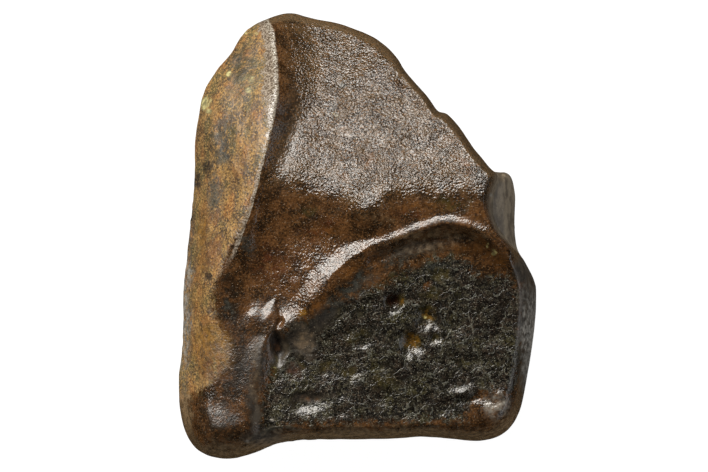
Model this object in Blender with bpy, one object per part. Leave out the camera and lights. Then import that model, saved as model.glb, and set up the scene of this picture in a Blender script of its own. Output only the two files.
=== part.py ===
"""Shed tooth of a horned dinosaur, as one fossil solid lying on its worn back.

Sizes and places are in millimetres in the tooth's own frame: +X to the right and +Y towards the
crown's tip as seen from above, +Z up from the flat spot that the tooth rests on. MM turns them
into Blender's metres when the mesh is made.
"""

import bmesh
import bpy
import numpy as np

MM = 0.001

# Mesh
GRID = 84                       # quads along each edge of the cube that becomes the tooth
TRIANGLES = 9600                # what is left of them once flat stretches are thinned out
GIRDLE_LATITUDE = -0.50         # where the girdle lies on the ball, in radians below its equator
CURVE_STEPS = 12                # points between two given points of a smooth line

# The plan's centre, which every radius of the girdle starts from
PLAN_CENTRE = (0.0, -1.5)

# The girdle is the tooth's widest line, anticlockwise from the right: x, y, height, edge radius
GIRDLE = (
    (9.98, -3.60, 5.2, 1.1),
    (9.85, -2.55, 5.2, 1.0),
    (9.37, -1.48, 5.0, 0.9),
    (8.96, -0.75, 4.8, 0.9),
    (8.81, 0.30, 4.6, 1.0),
    (8.82, 2.10, 4.5, 1.0),
    (8.66, 3.10, 4.6, 0.8),
    (8.30, 3.52, 4.8, 0.6),
    (7.62, 3.58, 5.4, 0.5),
    (7.05, 4.15, 5.4, 0.5),
    (6.50, 4.75, 5.2, 0.5),
    (5.84, 5.79, 4.8, 0.5),
    (5.06, 6.72, 4.4, 0.5),
    (4.45, 6.98, 4.2, 0.5),
    (3.85, 7.85, 3.9, 0.5),
    (2.75, 9.10, 3.4, 0.5),
    (2.10, 10.10, 3.1, 0.5),
    (0.98, 11.08, 2.8, 0.6),
    (-0.60, 11.75, 2.6, 0.6),
    (-2.38, 12.20, 2.5, 0.6),
    (-3.70, 12.50, 2.5, 0.7),
    (-4.90, 12.28, 2.6, 0.8),
    (-6.10, 11.65, 2.8, 0.9),
    (-7.13, 10.26, 3.2, 1.0),
    (-8.03, 9.14, 3.5, 1.1),
    (-8.72, 7.47, 3.8, 1.2),
    (-9.05, 5.60, 4.0, 1.2),
    (-9.06, 3.80, 4.1, 1.2),
    (-9.30, 1.20, 4.2, 1.2),
    (-9.65, -2.60, 4.4, 1.3),
    (-9.80, -6.00, 4.6, 1.3),
    (-9.99, -8.60, 4.7, 1.5),
    (-9.75, -10.70, 4.7, 1.7),
    (-8.95, -12.05, 4.7, 1.9),
    (-7.40, -12.50, 4.8, 1.9),
    (-5.75, -12.15, 5.0, 1.4),
    (-4.20, -11.58, 5.2, 1.1),
    (-1.60, -11.38, 5.4, 1.0),
    (1.80, -11.33, 5.6, 1.0),
    (3.50, -11.23, 5.6, 1.0),
    (5.20, -11.38, 5.6, 1.0),
    (6.90, -11.44, 5.6, 1.1),
    (8.20, -11.00, 5.5, 1.3),
    (8.95, -10.10, 5.4, 1.3),
    (9.33, -8.70, 5.3, 1.2),
    (9.72, -6.20, 5.2, 1.1),
)

# The carina is the sharp crest between the worn flank and the enamel face, top to bottom: x, y, z
CARINA = (
    (-5.30, 12.60, 4.0),
    (-4.75, 11.20, 5.2),
    (-4.52, 9.60, 6.4),
    (-4.50, 7.90, 7.5),
    (-4.75, 6.10, 8.2),
    (-5.15, 4.40, 8.6),
    (-5.60, 2.60, 8.8),
    (-6.10, 0.90, 8.9),
    (-6.75, -0.90, 8.8),
    (-7.45, -2.60, 8.6),
    (-7.60, -4.60, 8.4),
    (-7.45, -6.80, 8.4),
    (-7.50, -9.00, 8.5),
    (-7.60, -11.00, 8.2),
    (-7.60, -13.00, 7.8),
)
CARINA_FADE = (-3.0, 3.0)       # y below which the crest is quite round, and above which it is sharp
CARINA_ROUND = (1.6, 0.30)      # how far the two faces melt into each other at those two

# The worn flank, left of the carina
FLANK_RISE = 1.3                # height of the flank's outer edge above the girdle
FLANK_BULGE = 1.25              # over 1 keeps the flank full before it falls
FLANK_SLOPE = 0.9               # of the flank's plane where it runs on past the carina

# The enamel face, a tilted plane that levels out into a basin
ENAMEL_POINT = (2.5, 2.7, 9.7)  # a point on the line where it levels out
ENAMEL_TILT_X = 0.14            # rise to the right
ENAMEL_TILT_Y = 0.52            # fall towards the tip
ENAMEL_LEVELLING = 0.5
BASIN_DEPTH = 0.6
BASIN_CENTRE = (-4.2, -1.0)
BASIN_SIZE = (3.4, 3.6)
GUTTER_WIDTH = (1.3, 2.6)       # width beside the carina, low down and at the tip
GUTTER_SPAN = (3.5, 10.5)       # y of those two widths

# The rim of the root face, a closed welt from its lower left corner, clockwise: x, y, height above
# the faces beside it, width of its outer side and width of its inner side
ROOT_RIM = (
    (-5.56, -6.96, 0.30, 0.6, 0.6),
    (-5.15, -5.95, 0.30, 0.6, 0.6),
    (-4.10, -5.25, 0.30, 0.6, 0.7),
    (-3.10, -4.65, 0.35, 0.7, 0.8),
    (-2.25, -3.60, 0.40, 0.7, 0.9),
    (-1.35, -2.40, 0.40, 0.7, 0.9),
    (-0.40, -1.50, 0.38, 0.6, 0.9),
    (1.00, -0.45, 0.30, 0.4, 0.8),
    (2.40, 0.05, 0.28, 0.3, 0.8),
    (4.60, 0.70, 0.28, 0.3, 0.8),
    (6.20, 0.48, 0.28, 0.3, 0.8),
    (7.60, -0.45, 0.28, 0.3, 0.8),
    (8.65, -1.80, 0.28, 0.3, 0.8),
    (9.05, -3.60, 0.28, 0.4, 0.6),
    (9.02, -6.40, 0.28, 0.4, 0.6),
    (8.80, -8.90, 0.28, 0.4, 0.6),
    (8.10, -10.25, 0.30, 0.4, 0.6),
    (6.40, -10.70, 0.40, 0.4, 0.5),
    (2.00, -10.65, 0.45, 0.4, 0.5),
    (-2.00, -10.55, 0.45, 0.4, 0.5),
    (-4.33, -10.65, 0.45, 0.4, 0.5),
    (-5.75, -11.30, 0.35, 0.4, 0.6),
    (-5.95, -9.60, 0.30, 0.6, 0.6),
    (-5.80, -8.20, 0.30, 0.6, 0.6),
)

# The root face, and where the collar outside its rim comes down to it
ROOT_POINT = (3.0, -5.0, 9.0)
ROOT_TILT_Y = 0.05
ROOT_CURVE_X = 0.006
COLLAR_FALL_Y = (0.5, -3.5)
COLLAR_FALL_X = (-5.5, -2.0)

# The step down to the broken lobe at the right, top to bottom: x, y, width of the step
STEP = (
    (8.10, 4.60, 1.6),
    (7.30, 3.40, 1.6),
    (6.80, 2.30, 1.6),
    (6.95, 1.20, 1.2),
    (7.75, 0.10, 0.6),
    (8.60, -0.90, 0.4),
    (9.60, -1.60, 0.4),
)
STEP_DEPTH = 2.6

# Hollows and humps of the upper side: x, y, half width, half height, depth (below 0 is a hump)
HOLLOWS = (
    (-2.30, -6.00, 2.60, 3.20, 0.40),   # left half of the root face
    (-4.50, -6.25, 0.65, 1.05, 1.50),   # deep pit at the rim's left end
    (-3.30, -7.80, 0.85, 0.55, 0.30),   # dents below it
    (-2.45, -9.00, 1.30, 0.75, 0.50),
    (1.95, -3.60, 0.55, 0.50, 0.50),    # cluster of pits in the middle
    (3.45, -4.30, 0.75, 0.95, 0.45),
    (2.95, -5.95, 0.80, 0.85, 0.55),
    (4.35, -5.55, 0.45, 0.50, 0.25),
    (6.80, -8.45, 1.50, 0.45, -0.25),   # ridge and swelling at the lower right corner
    (7.40, -9.60, 1.20, 0.70, -0.20),
    (-8.40, -9.20, 2.00, 1.10, 0.75),   # saddle above the lower left lobe, and the lobe's top
    (-7.50, -11.80, 1.40, 1.20, -0.50),
    (-4.70, -4.85, 1.90, 0.55, -0.25),  # sill at the basin's foot
    (-7.70, 2.00, 0.70, 1.60, 0.15),    # worn spots on the flank
    (-7.80, 5.00, 0.80, 1.50, 0.20),
)
FURROW = ((-4.70, -7.20), (-4.85, -9.20), (-5.10, -10.80))
FURROW_SIZE = (0.50, 0.50)      # half width and depth

# The back
FLAT_SHARE = 0.40               # of each radius that lies in the flat spot
FLAT_RAGGED = 0.05              # how much that share wanders around the spot
BACK_FULLNESS = (2.6, 1.7)      # of its roll up to the girdle, at the root and at the tip
BACK_SPAN = (-8.0, 8.0)         # y of those two
BACK_HOLLOWS = (
    (4.60, -8.00, 2.60, 1.90, 1.50),    # resorbed hollow near the root
    (-6.40, -3.50, 0.90, 3.80, 0.70),   # flutes that run towards the tip
    (5.60, 0.60, 0.90, 3.20, 0.60),
    (-2.20, 7.60, 0.70, 2.60, 0.50),
)
SMOOTHING = 0.22                # bearing each side over which the back smooths the girdle's nicks


def smooth_step(low, high, value):
    """0 up to low, 1 from high on, and an even S between."""
    share = np.clip((value - low) / (high - low), 0.0, 1.0)
    return share * share * (3.0 - 2.0 * share)


def mix(first, second, share):
    """first at share 0, second at share 1."""
    return first + (second - first) * share


def soft_min(first, second, reach):
    """The lower of two heights, melted together where they are nearer than reach."""
    near = np.clip(0.5 + 0.5 * (second - first) / reach, 0.0, 1.0)
    return mix(second, first, near) - reach * near * (1.0 - near)


def smooth_line(points, closed=False):
    """A dense Catmull-Rom line through the given points, with every column interpolated."""
    given = np.asarray(points, float)
    if closed:
        padded = np.vstack([given[-1:], given, given[:2]])
    else:
        padded = np.vstack([2 * given[0] - given[1], given, 2 * given[-1] - given[-2]])
    shares = np.linspace(0.0, 1.0, CURVE_STEPS, endpoint=False)[:, None]
    pieces = []
    for before, start, end, after in zip(padded, padded[1:], padded[2:], padded[3:]):
        pieces.append(
            0.5
            * (
                2 * start
                + (end - before) * shares
                + (2 * before - 5 * start + 4 * end - after) * shares**2
                + (3 * start - before - 3 * end + after) * shares**3
            )
        )
    if not closed:
        pieces.append(given[-1:])
    return np.vstack(pieces)


def nearest(line, plan, closed=False):
    """Gap from each plan point to a line, positive on its right, and the line's other columns there."""
    starts = line if closed else line[:-1]
    ends = np.roll(line, -1, axis=0) if closed else line[1:]
    runs = (ends - starts)[:, :2]
    lengths = np.maximum((runs**2).sum(1), 1e-12)
    gap = plan[:, None, :] - starts[None, :, :2]
    share = np.clip((gap * runs[None]).sum(2) / lengths[None], 0.0, 1.0)
    off = gap - share[:, :, None] * runs[None]
    squared = (off**2).sum(2)
    best = squared.argmin(1)
    rows = np.arange(len(plan))
    run, away = runs[best], off[rows, best]
    side = np.sign(run[:, 1] * away[:, 0] - run[:, 0] * away[:, 1])
    columns = mix(starts[best, 2:], ends[best, 2:], share[rows, best][:, None])
    return np.sqrt(squared[rows, best]) * np.where(side == 0, 1.0, side), columns


def ball_directions(count):
    """A cube of count by count quads a side, pressed into a ball: the mesh and its unit directions."""
    mesh = bmesh.new()
    bmesh.ops.create_cube(mesh, size=2.0)
    bmesh.ops.subdivide_edges(mesh, edges=mesh.edges[:], cuts=count - 1, use_grid_fill=True)
    cube = np.array([vertex.co for vertex in mesh.verts])
    spread = np.tan(cube * np.pi / 4)
    return mesh, spread / np.linalg.norm(spread, axis=1)[:, None]


def girdle_at(bearings):
    """Radius, height and edge radius of the girdle at each bearing from the plan's centre."""
    line = smooth_line(GIRDLE, closed=True)
    offset = line[:, :2] - np.array(PLAN_CENTRE)
    around = np.arctan2(offset[:, 1], offset[:, 0])
    order = np.argsort(around)
    radius = np.hypot(offset[:, 0], offset[:, 1])
    columns = [radius, line[:, 2], line[:, 3]]
    return [np.interp(bearings, around[order], c[order], period=2 * np.pi) for c in columns]


def flank_height(carina_gap, carina_top, girdle_gap, girdle_height):
    """The worn flank, stretched from the carina to the girdle."""
    outer = girdle_height + FLANK_RISE
    left = np.maximum(-carina_gap, 0.0)
    share = left / np.maximum(left + girdle_gap, 1e-6)
    face = mix(carina_top, outer, share**FLANK_BULGE)
    return face + FLANK_SLOPE * np.maximum(carina_gap, 0.0)


def enamel_height(plan, carina_gap, carina_top):
    """The enamel face with its gutter beside the carina and its basin below."""
    x, y = plan.T
    px, py, pz = ENAMEL_POINT
    past = y - py
    fall = 0.5 * (past + np.sqrt(past**2 + 4 * ENAMEL_LEVELLING**2))
    face = pz + ENAMEL_TILT_X * (x - px) - ENAMEL_TILT_Y * fall
    basin = ((x - BASIN_CENTRE[0]) / BASIN_SIZE[0]) ** 2 + ((y - BASIN_CENTRE[1]) / BASIN_SIZE[1]) ** 2
    face = face - BASIN_DEPTH * np.exp(-basin)
    width = mix(*GUTTER_WIDTH, smooth_step(*GUTTER_SPAN, y))
    share = np.clip(1.0 - carina_gap / width, 0.0, 2.0)
    return face + np.maximum(carina_top - face, 0.3) * share**2


def root_height(plan):
    """The root face before its hollows."""
    x, y = plan.T
    px, py, pz = ROOT_POINT
    return pz + ROOT_TILT_Y * (y - py) - ROOT_CURVE_X * (x - px) ** 2


def hollow_depth(plan, given):
    """How deep the given hollows go at each plan point."""
    x, y = plan.T
    depth = np.zeros(len(plan))
    for hx, hy, half_x, half_y, deep in given:
        reach = ((x - hx) / half_x) ** 2 + ((y - hy) / half_y) ** 2
        depth += deep * np.exp(-(reach**1.3))
    return depth


def front_height(plan, girdle_gap, girdle_height):
    """The upper side, before it rolls over to the girdle."""
    carina_gap, carina = nearest(smooth_line(CARINA), plan)
    carina_gap, carina_top = -carina_gap, carina[:, 0]
    flank = flank_height(carina_gap, carina_top, girdle_gap, girdle_height)
    enamel = enamel_height(plan, carina_gap, carina_top)
    melt = mix(*CARINA_ROUND, smooth_step(*CARINA_FADE, plan[:, 1]))
    outside = soft_min(flank, enamel, melt)

    rim_gap, rim = nearest(smooth_line(ROOT_RIM, closed=True), plan, closed=True)
    root = root_height(plan)
    fallen = smooth_step(*COLLAR_FALL_Y, plan[:, 1]) * smooth_step(*COLLAR_FALL_X, plan[:, 0])
    collar = mix(outside, root, fallen)
    welt, outer_width, inner_width = rim.T
    width = np.where(rim_gap < 0, outer_width, inner_width)
    front = mix(collar, root, smooth_step(0.0, inner_width, rim_gap))
    front += welt * np.exp(-((rim_gap / width) ** 2))

    furrow_gap, _ = nearest(smooth_line(FURROW), plan)
    furrow = FURROW_SIZE[1] * np.exp(-((furrow_gap / FURROW_SIZE[0]) ** 2))
    step_gap, step = nearest(smooth_line(STEP), plan)
    drop = STEP_DEPTH * smooth_step(-0.2, 1.0, -step_gap / step[:, 0])
    return front - hollow_depth(plan, HOLLOWS) - furrow - drop


def back_height(plan, share, bearing, girdle_height):
    """The lower side: a flat spot, then a roll up to the girdle."""
    ragged = np.sin(2 * bearing + 0.7) + 0.6 * np.sin(3 * bearing + 2.1) + 0.4 * np.sin(5 * bearing)
    flat = FLAT_SHARE + FLAT_RAGGED * ragged
    past = np.clip((share - flat) / (1.0 - flat), 0.0, 1.0)
    fullness = mix(*BACK_FULLNESS, smooth_step(*BACK_SPAN, plan[:, 1]))
    rise = girdle_height * (1.0 - np.sqrt(np.maximum(1.0 - past**fullness, 0.0)))
    return rise + hollow_depth(plan, BACK_HOLLOWS) * np.sin(np.pi * past) ** 2


def tooth_points(directions):
    """Where each direction of the ball meets the tooth, in millimetres."""
    bearing = np.arctan2(directions[:, 1], directions[:, 0])
    latitude = np.arcsin(np.clip(directions[:, 2], -1.0, 1.0))
    quarter = np.pi / 2
    above = (latitude - GIRDLE_LATITUDE) / (quarter - GIRDLE_LATITUDE)
    below = (GIRDLE_LATITUDE - latitude) / (quarter + GIRDLE_LATITUDE)
    share = np.cos(quarter * np.maximum(above, below))

    radius, girdle_height, edge_radius = girdle_at(bearing)
    turns = np.linspace(-SMOOTHING, SMOOTHING, 7)
    smoothed = np.mean([girdle_at(bearing + turn)[0] for turn in turns], axis=0)
    heading = np.stack([np.cos(bearing), np.sin(bearing)], axis=1)
    reach = share * mix(smoothed, radius, share**12)
    plan = np.array(PLAN_CENTRE) + heading * reach[:, None]

    line = smooth_line(GIRDLE, closed=True)
    girdle_gap = np.abs(nearest(line, plan, closed=True)[0])
    roll = np.clip(1.0 - girdle_gap / edge_radius, 0.0, 1.0)
    front = mix(girdle_height, front_height(plan, girdle_gap, girdle_height), np.sqrt(1.0 - roll**2))
    back = back_height(plan, share, bearing, girdle_height)
    return np.column_stack([plan, np.where(above >= 0, front, back)])


def fossil_material():
    """Dark brown fossil enamel and dentine with a low polish."""
    material = bpy.data.materials.new("fossil_enamel")
    material.use_nodes = True
    shader = material.node_tree.nodes["Principled BSDF"]
    shader.inputs["Base Color"].default_value = (0.075, 0.040, 0.018, 1.0)
    shader.inputs["Roughness"].default_value = 0.38
    shader.inputs["Metallic"].default_value = 0.0
    return material


def make_tooth():
    """The tooth as one closed mesh."""
    mesh, directions = ball_directions(GRID)
    for vertex, point in zip(mesh.verts, tooth_points(directions)):
        vertex.co = point * MM
    bmesh.ops.recalc_face_normals(mesh, faces=mesh.faces[:])
    data = bpy.data.meshes.new("tooth")
    mesh.to_mesh(data)
    mesh.free()
    data.shade_smooth()
    data.materials.append(fossil_material())
    tooth = bpy.data.objects.new("tooth", data)
    bpy.context.scene.collection.objects.link(tooth)
    thinning = tooth.modifiers.new("thinning", "DECIMATE")
    thinning.ratio = TRIANGLES / (2 * len(data.polygons))
    thinning.use_collapse_triangulate = True
    return tooth


def main():
    for old in list(bpy.data.objects):
        bpy.data.objects.remove(old)
    make_tooth()


main()
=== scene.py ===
"""Triceratops shed tooth, dressed for a studio picture.

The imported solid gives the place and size. This script grows the same surface at a finer mesh, with
the small relief and the fossil's colours that the solid leaves out. Sizes and places are in
millimetres in the tooth's own frame: +X to the right, +Y towards the crown's tip, +Z up.
"""

import logging
import math
from dataclasses import dataclass, field
from enum import Enum

import bmesh
import bpy
import numpy as np
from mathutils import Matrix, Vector

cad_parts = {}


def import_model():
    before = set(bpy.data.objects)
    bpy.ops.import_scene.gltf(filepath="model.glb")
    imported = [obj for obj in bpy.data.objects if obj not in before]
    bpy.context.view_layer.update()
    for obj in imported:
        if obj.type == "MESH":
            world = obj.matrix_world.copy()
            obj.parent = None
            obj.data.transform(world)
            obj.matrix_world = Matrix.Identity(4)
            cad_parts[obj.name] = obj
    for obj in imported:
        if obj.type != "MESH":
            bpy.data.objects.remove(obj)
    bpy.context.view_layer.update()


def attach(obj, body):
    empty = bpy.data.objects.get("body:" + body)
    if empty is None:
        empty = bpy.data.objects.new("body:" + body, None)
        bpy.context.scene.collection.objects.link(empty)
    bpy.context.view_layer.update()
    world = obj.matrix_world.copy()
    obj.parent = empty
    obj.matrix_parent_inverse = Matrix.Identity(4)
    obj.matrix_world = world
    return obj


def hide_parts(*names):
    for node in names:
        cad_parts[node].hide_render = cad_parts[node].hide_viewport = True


MM = 0.001
PHOTO_WIDTH = 708
BLOCKS = 64  # how many blocks a long array of gaps is worked out in, to spare memory
NOISE_MIDDLE = 0.5
WHITE = (1.0, 1.0, 1.0)

Row = tuple[float, ...]
Points = tuple[Row, ...]
Pair = tuple[float, float]
Triple = tuple[float, float, float]
Colour = Triple
Number = "float | Term"
Inputs = "dict[str | int, float | Row | Term]"

log = logging.getLogger("tooth")


class Region(Enum):
    """What each vertex of the tooth knows about its place, in millimetres unless it says so."""

    FLANK = "flank_gap"  # into the worn flank, from the line where its dentine starts
    CUT = "cut_share"  # across the enamel's cut edge: -1 at the dentine, 0 at the crest
    PLANE = "plane_gap"  # from the fold and the gutter, into the grained enamel plane
    FIELD = "field_gap"  # into the dark field of the root face
    CRACK = "crack_gap"  # from the nearest crack
    EDGE = "edge_gap"  # from the girdle, inwards
    STEP = "step_share"  # 0 to 1, down the step to the broken lobe
    UNDER = "under_share"  # 0 at the girdle to 1 in the middle of the back


class Tint(Enum):
    """The stains in the surface, and painted shade and painted light, by the colour they give it."""

    OLIVE = "olive_tint"
    RUST = "rust_tint"
    YELLOW = "yellow_tint"
    SLATE = "slate_tint"
    # Painted sheen: grey reflection on walls and edges that turn aside, and tiny painted glints.
    PAINTED_SHEEN = "painted_sheen_tint"
    # Dark spots, and painted shade in hollows and on slopes that turn from the light.
    DARK = "dark_and_shade_tint"
    RED = "red_tint"
    SMOOTH = "smooth_tint"
    SHEEN = "sheen_tint"
    GOLD = "gold_tint"
    # Tan walls: part their own colour, part painted light where they turn away from the lamps.
    TAN = "tan_and_painted_light_tint"


def smooth_step(low: float, high: float, value: np.ndarray) -> np.ndarray:
    """0 up to low, 1 from high on, and an even S between."""
    share = np.clip((value - low) / (high - low), 0.0, 1.0)
    return share * share * (3.0 - 2.0 * share)


def mix(first: np.ndarray, second: np.ndarray, share: np.ndarray) -> np.ndarray:
    """first at share 0, second at share 1."""
    return first + (second - first) * share


def soft_min(first: np.ndarray, second: np.ndarray, reach: np.ndarray) -> np.ndarray:
    """The lower of two heights, melted together where they are nearer than reach."""
    near = np.clip(0.5 + 0.5 * (second - first) / reach, 0.0, 1.0)
    return mix(second, first, near) - reach * near * (1.0 - near)


@dataclass(frozen=True)
class SmoothLine:
    """A smooth line through points, each x, y and then the line's own columns.

    A closed line runs on from its last point to its first.
    """

    points: Points
    closed: bool = False
    steps: int = 8

    def dense(self) -> np.ndarray:
        """The line itself, as a cubic through every point, with every column interpolated.

        Returns:
            One row for each step along the line.
        """
        given = np.asarray(self.points, float)
        if self.closed:
            padded = np.vstack([given[-1:], given, given[:2]])
        else:
            padded = np.vstack([2 * given[0] - given[1], given, 2 * given[-1] - given[-2]])
        share = np.linspace(0.0, 1.0, self.steps, endpoint=False)[:, None]
        made = [
            0.5
            * (
                2 * start
                + (end - before) * share
                + (2 * before - 5 * start + 4 * end - after) * share**2
                + (3 * start - before - 3 * end + after) * share**3
            )
            for before, start, end, after in zip(padded, padded[1:], padded[2:], padded[3:])
        ]
        if not self.closed:
            made.append(given[-1:])
        return np.vstack(made)

    def nearest(self, plan: np.ndarray) -> tuple[np.ndarray, np.ndarray]:
        """Where each plan point is beside the line.

        Args:
            plan: One row of x and y for each point.

        Returns:
            The gap to the line, positive on its right, and the line's own columns there.
        """
        line = self.dense()
        starts = line if self.closed else line[:-1]
        ends = np.roll(line, -1, axis=0) if self.closed else line[1:]
        blocks = [self._nearest_of(starts, ends, block) for block in np.array_split(plan, BLOCKS)]
        gaps, columns = zip(*blocks)
        return np.concatenate(gaps), np.vstack(columns)

    @staticmethod
    def _nearest_of(
        starts: np.ndarray, ends: np.ndarray, plan: np.ndarray
    ) -> tuple[np.ndarray, np.ndarray]:
        """The same, for one block of plan points.

        Args:
            starts: Where the line's straight runs start, with the line's own columns.
            ends: Where they end.
            plan: The block, one row of x and y for each point.

        Returns:
            The gap to the line and the line's own columns, as nearest gives them.
        """
        shortest = 1e-12
        runs = (ends - starts)[:, :2]
        lengths = np.maximum((runs**2).sum(1), shortest)
        gap = plan[:, None, :] - starts[None, :, :2]
        share = np.clip((gap * runs[None]).sum(2) / lengths[None], 0.0, 1.0)
        off = gap - share[:, :, None] * runs[None]
        squared = (off**2).sum(2)
        best = squared.argmin(1)
        rows = np.arange(len(plan))
        run, away = runs[best], off[rows, best]
        side = np.where(run[:, 1] * away[:, 0] >= run[:, 0] * away[:, 1], 1.0, -1.0)
        columns = mix(starts[best, 2:], ends[best, 2:], share[rows, best][:, None])
        return np.sqrt(squared[rows, best]) * side, columns


def dent_share(
    plan: np.ndarray, place: Pair, half: Pair, turn: float, fullness: float
) -> np.ndarray:
    """The soft oval that dents and stains share.

    Args:
        plan: One row of x and y for each point.
        place: The oval's centre.
        half: Its half sizes.
        turn: Its turn in radians, anticlockwise.
        fullness: 1 for a bell, more for a flat middle and steep sides.

    Returns:
        1 at the centre and 0 well beyond the half sizes.
    """
    away = plan - np.array(place)
    cos, sin = math.cos(turn), math.sin(turn)
    along = (away[:, 0] * cos + away[:, 1] * sin) / half[0]
    across = (away[:, 1] * cos - away[:, 0] * sin) / half[1]
    return np.exp(-((along**2 + across**2) ** fullness))


@dataclass(frozen=True)
class Hollow:
    """A dent pressed into the surface, or a hump where its depth is below zero."""

    place: Pair
    half: Pair
    depth: float
    turn: float = 0.0
    fullness: float = 1.3

    @classmethod
    def rows(cls, *rows: Row) -> "tuple[Hollow, ...]":
        """Hollows by x, y, two half sizes and depth, and then turn and fullness if given."""
        return tuple(cls(row[:2], row[2:4], *row[4:]) for row in rows)

    def at(self, plan: np.ndarray) -> np.ndarray:
        """How deep it goes at each plan point."""
        return self.depth * dent_share(plan, self.place, self.half, self.turn, self.fullness)


@dataclass(frozen=True)
class Stain:
    """A patch of one tint."""

    tint: Tint
    place: Pair
    half: Pair
    strength: float = 1.0
    turn: float = 0.0

    @classmethod
    def rows(cls, tint: Tint, *rows: Row) -> "tuple[Stain, ...]":
        """Stains of a tint by x, y and two half sizes, and then strength and turn if given."""
        return tuple(cls(tint, row[:2], row[2:4], *row[4:]) for row in rows)

    def at(self, plan: np.ndarray) -> np.ndarray:
        """How strong it is at each plan point."""
        bell = 1.0
        return self.strength * dent_share(plan, self.place, self.half, self.turn, bell)


@dataclass(frozen=True)
class Groove:
    """A narrow groove along a line, or a ridge where its depth is below zero."""

    points: Points
    half_width: float
    depth: float

    def at(self, plan: np.ndarray) -> np.ndarray:
        """How deep it goes at each plan point."""
        gap, _ = SmoothLine(self.points).nearest(plan)
        return self.depth * np.exp(-((gap / self.half_width) ** 2))


@dataclass(frozen=True)
class Pitting:
    """A field of small pits side by side, each with its own depth."""

    spacing: float = 1.0
    depth: Pair = (0.0, 0.08)
    jitter: float = 0.42
    slope: float = 0.45
    reach: float = 12.0
    seed: int = 5

    def at(self, plan: np.ndarray) -> np.ndarray:
        """How deep the pits go.

        Args:
            plan: One row of x and y for each point.

        Returns:
            The depth at each point, which falls off towards the ridges between the pits.
        """
        random = np.random.default_rng(self.seed)
        steps = np.arange(-self.reach, self.reach, self.spacing)
        centres = np.stack(np.meshgrid(steps, steps), axis=-1).reshape(-1, 2)
        centres = centres + random.uniform(-1.0, 1.0, centres.shape) * self.jitter * self.spacing
        depths = mix(*self.depth, random.uniform(0.0, 1.0, len(centres)) ** 2)
        deep = []
        for block in np.array_split(plan, BLOCKS):
            away = np.linalg.norm(block[:, None] - centres[None], axis=2)
            order = np.argpartition(away, 1, axis=1)[:, :2]
            pair = np.take_along_axis(away, order, axis=1)
            ridge = 0.5 * np.abs(pair[:, 1] - pair[:, 0])
            nearest = np.take_along_axis(order, pair.argmin(1)[:, None], axis=1)[:, 0]
            deep.append(depths[nearest] * smooth_step(0.0, self.slope * self.spacing, ridge))
        return np.concatenate(deep)


class Lumps:
    """Smooth random bumps that come out the same on each run."""

    CELLS = 48

    def __init__(self, seed: int) -> None:
        """Draws the random values that the bumps run through."""
        self.values = np.random.default_rng(seed).uniform(-1.0, 1.0, (self.CELLS,) * 3)

    def at(self, points: np.ndarray, size: float) -> np.ndarray:
        """The bumps' height.

        Args:
            points: One row of x, y and z for each point.
            size: About how far apart the bumps are.

        Returns:
            A number between -1 and 1 for each point.
        """
        scaled = points / size
        base = np.floor(scaled).astype(int)
        share = scaled - base
        share = share * share * (3.0 - 2.0 * share)
        total = np.zeros(len(points))
        for corner in np.ndindex(2, 2, 2):
            weight = np.prod(np.where(np.array(corner) == 1, share, 1.0 - share), axis=1)
            i, j, k = ((base + corner) % self.CELLS).T
            total += weight * self.values[i, j, k]
        return total

    def rough(self, points: np.ndarray, size: float, layers: int) -> np.ndarray:
        """The sum of ever smaller bumps, each layer half the size and height of the last."""
        return sum(self.at(points, size * 0.5**n) * 0.5**n for n in range(layers))


@dataclass(frozen=True)
class Relief:
    """One kind of small random relief: its height, and the size and layers of its bumps."""

    height: float
    size: float
    layers: int
    shift: float
    stretch: Triple = (1.0, 1.0, 1.0)

    def at(self, lumps: Lumps, points: np.ndarray) -> np.ndarray:
        """The relief's height at each point; a shift makes it another relief."""
        return self.height * lumps.rough(points * self.stretch + self.shift, self.size, self.layers)


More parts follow.
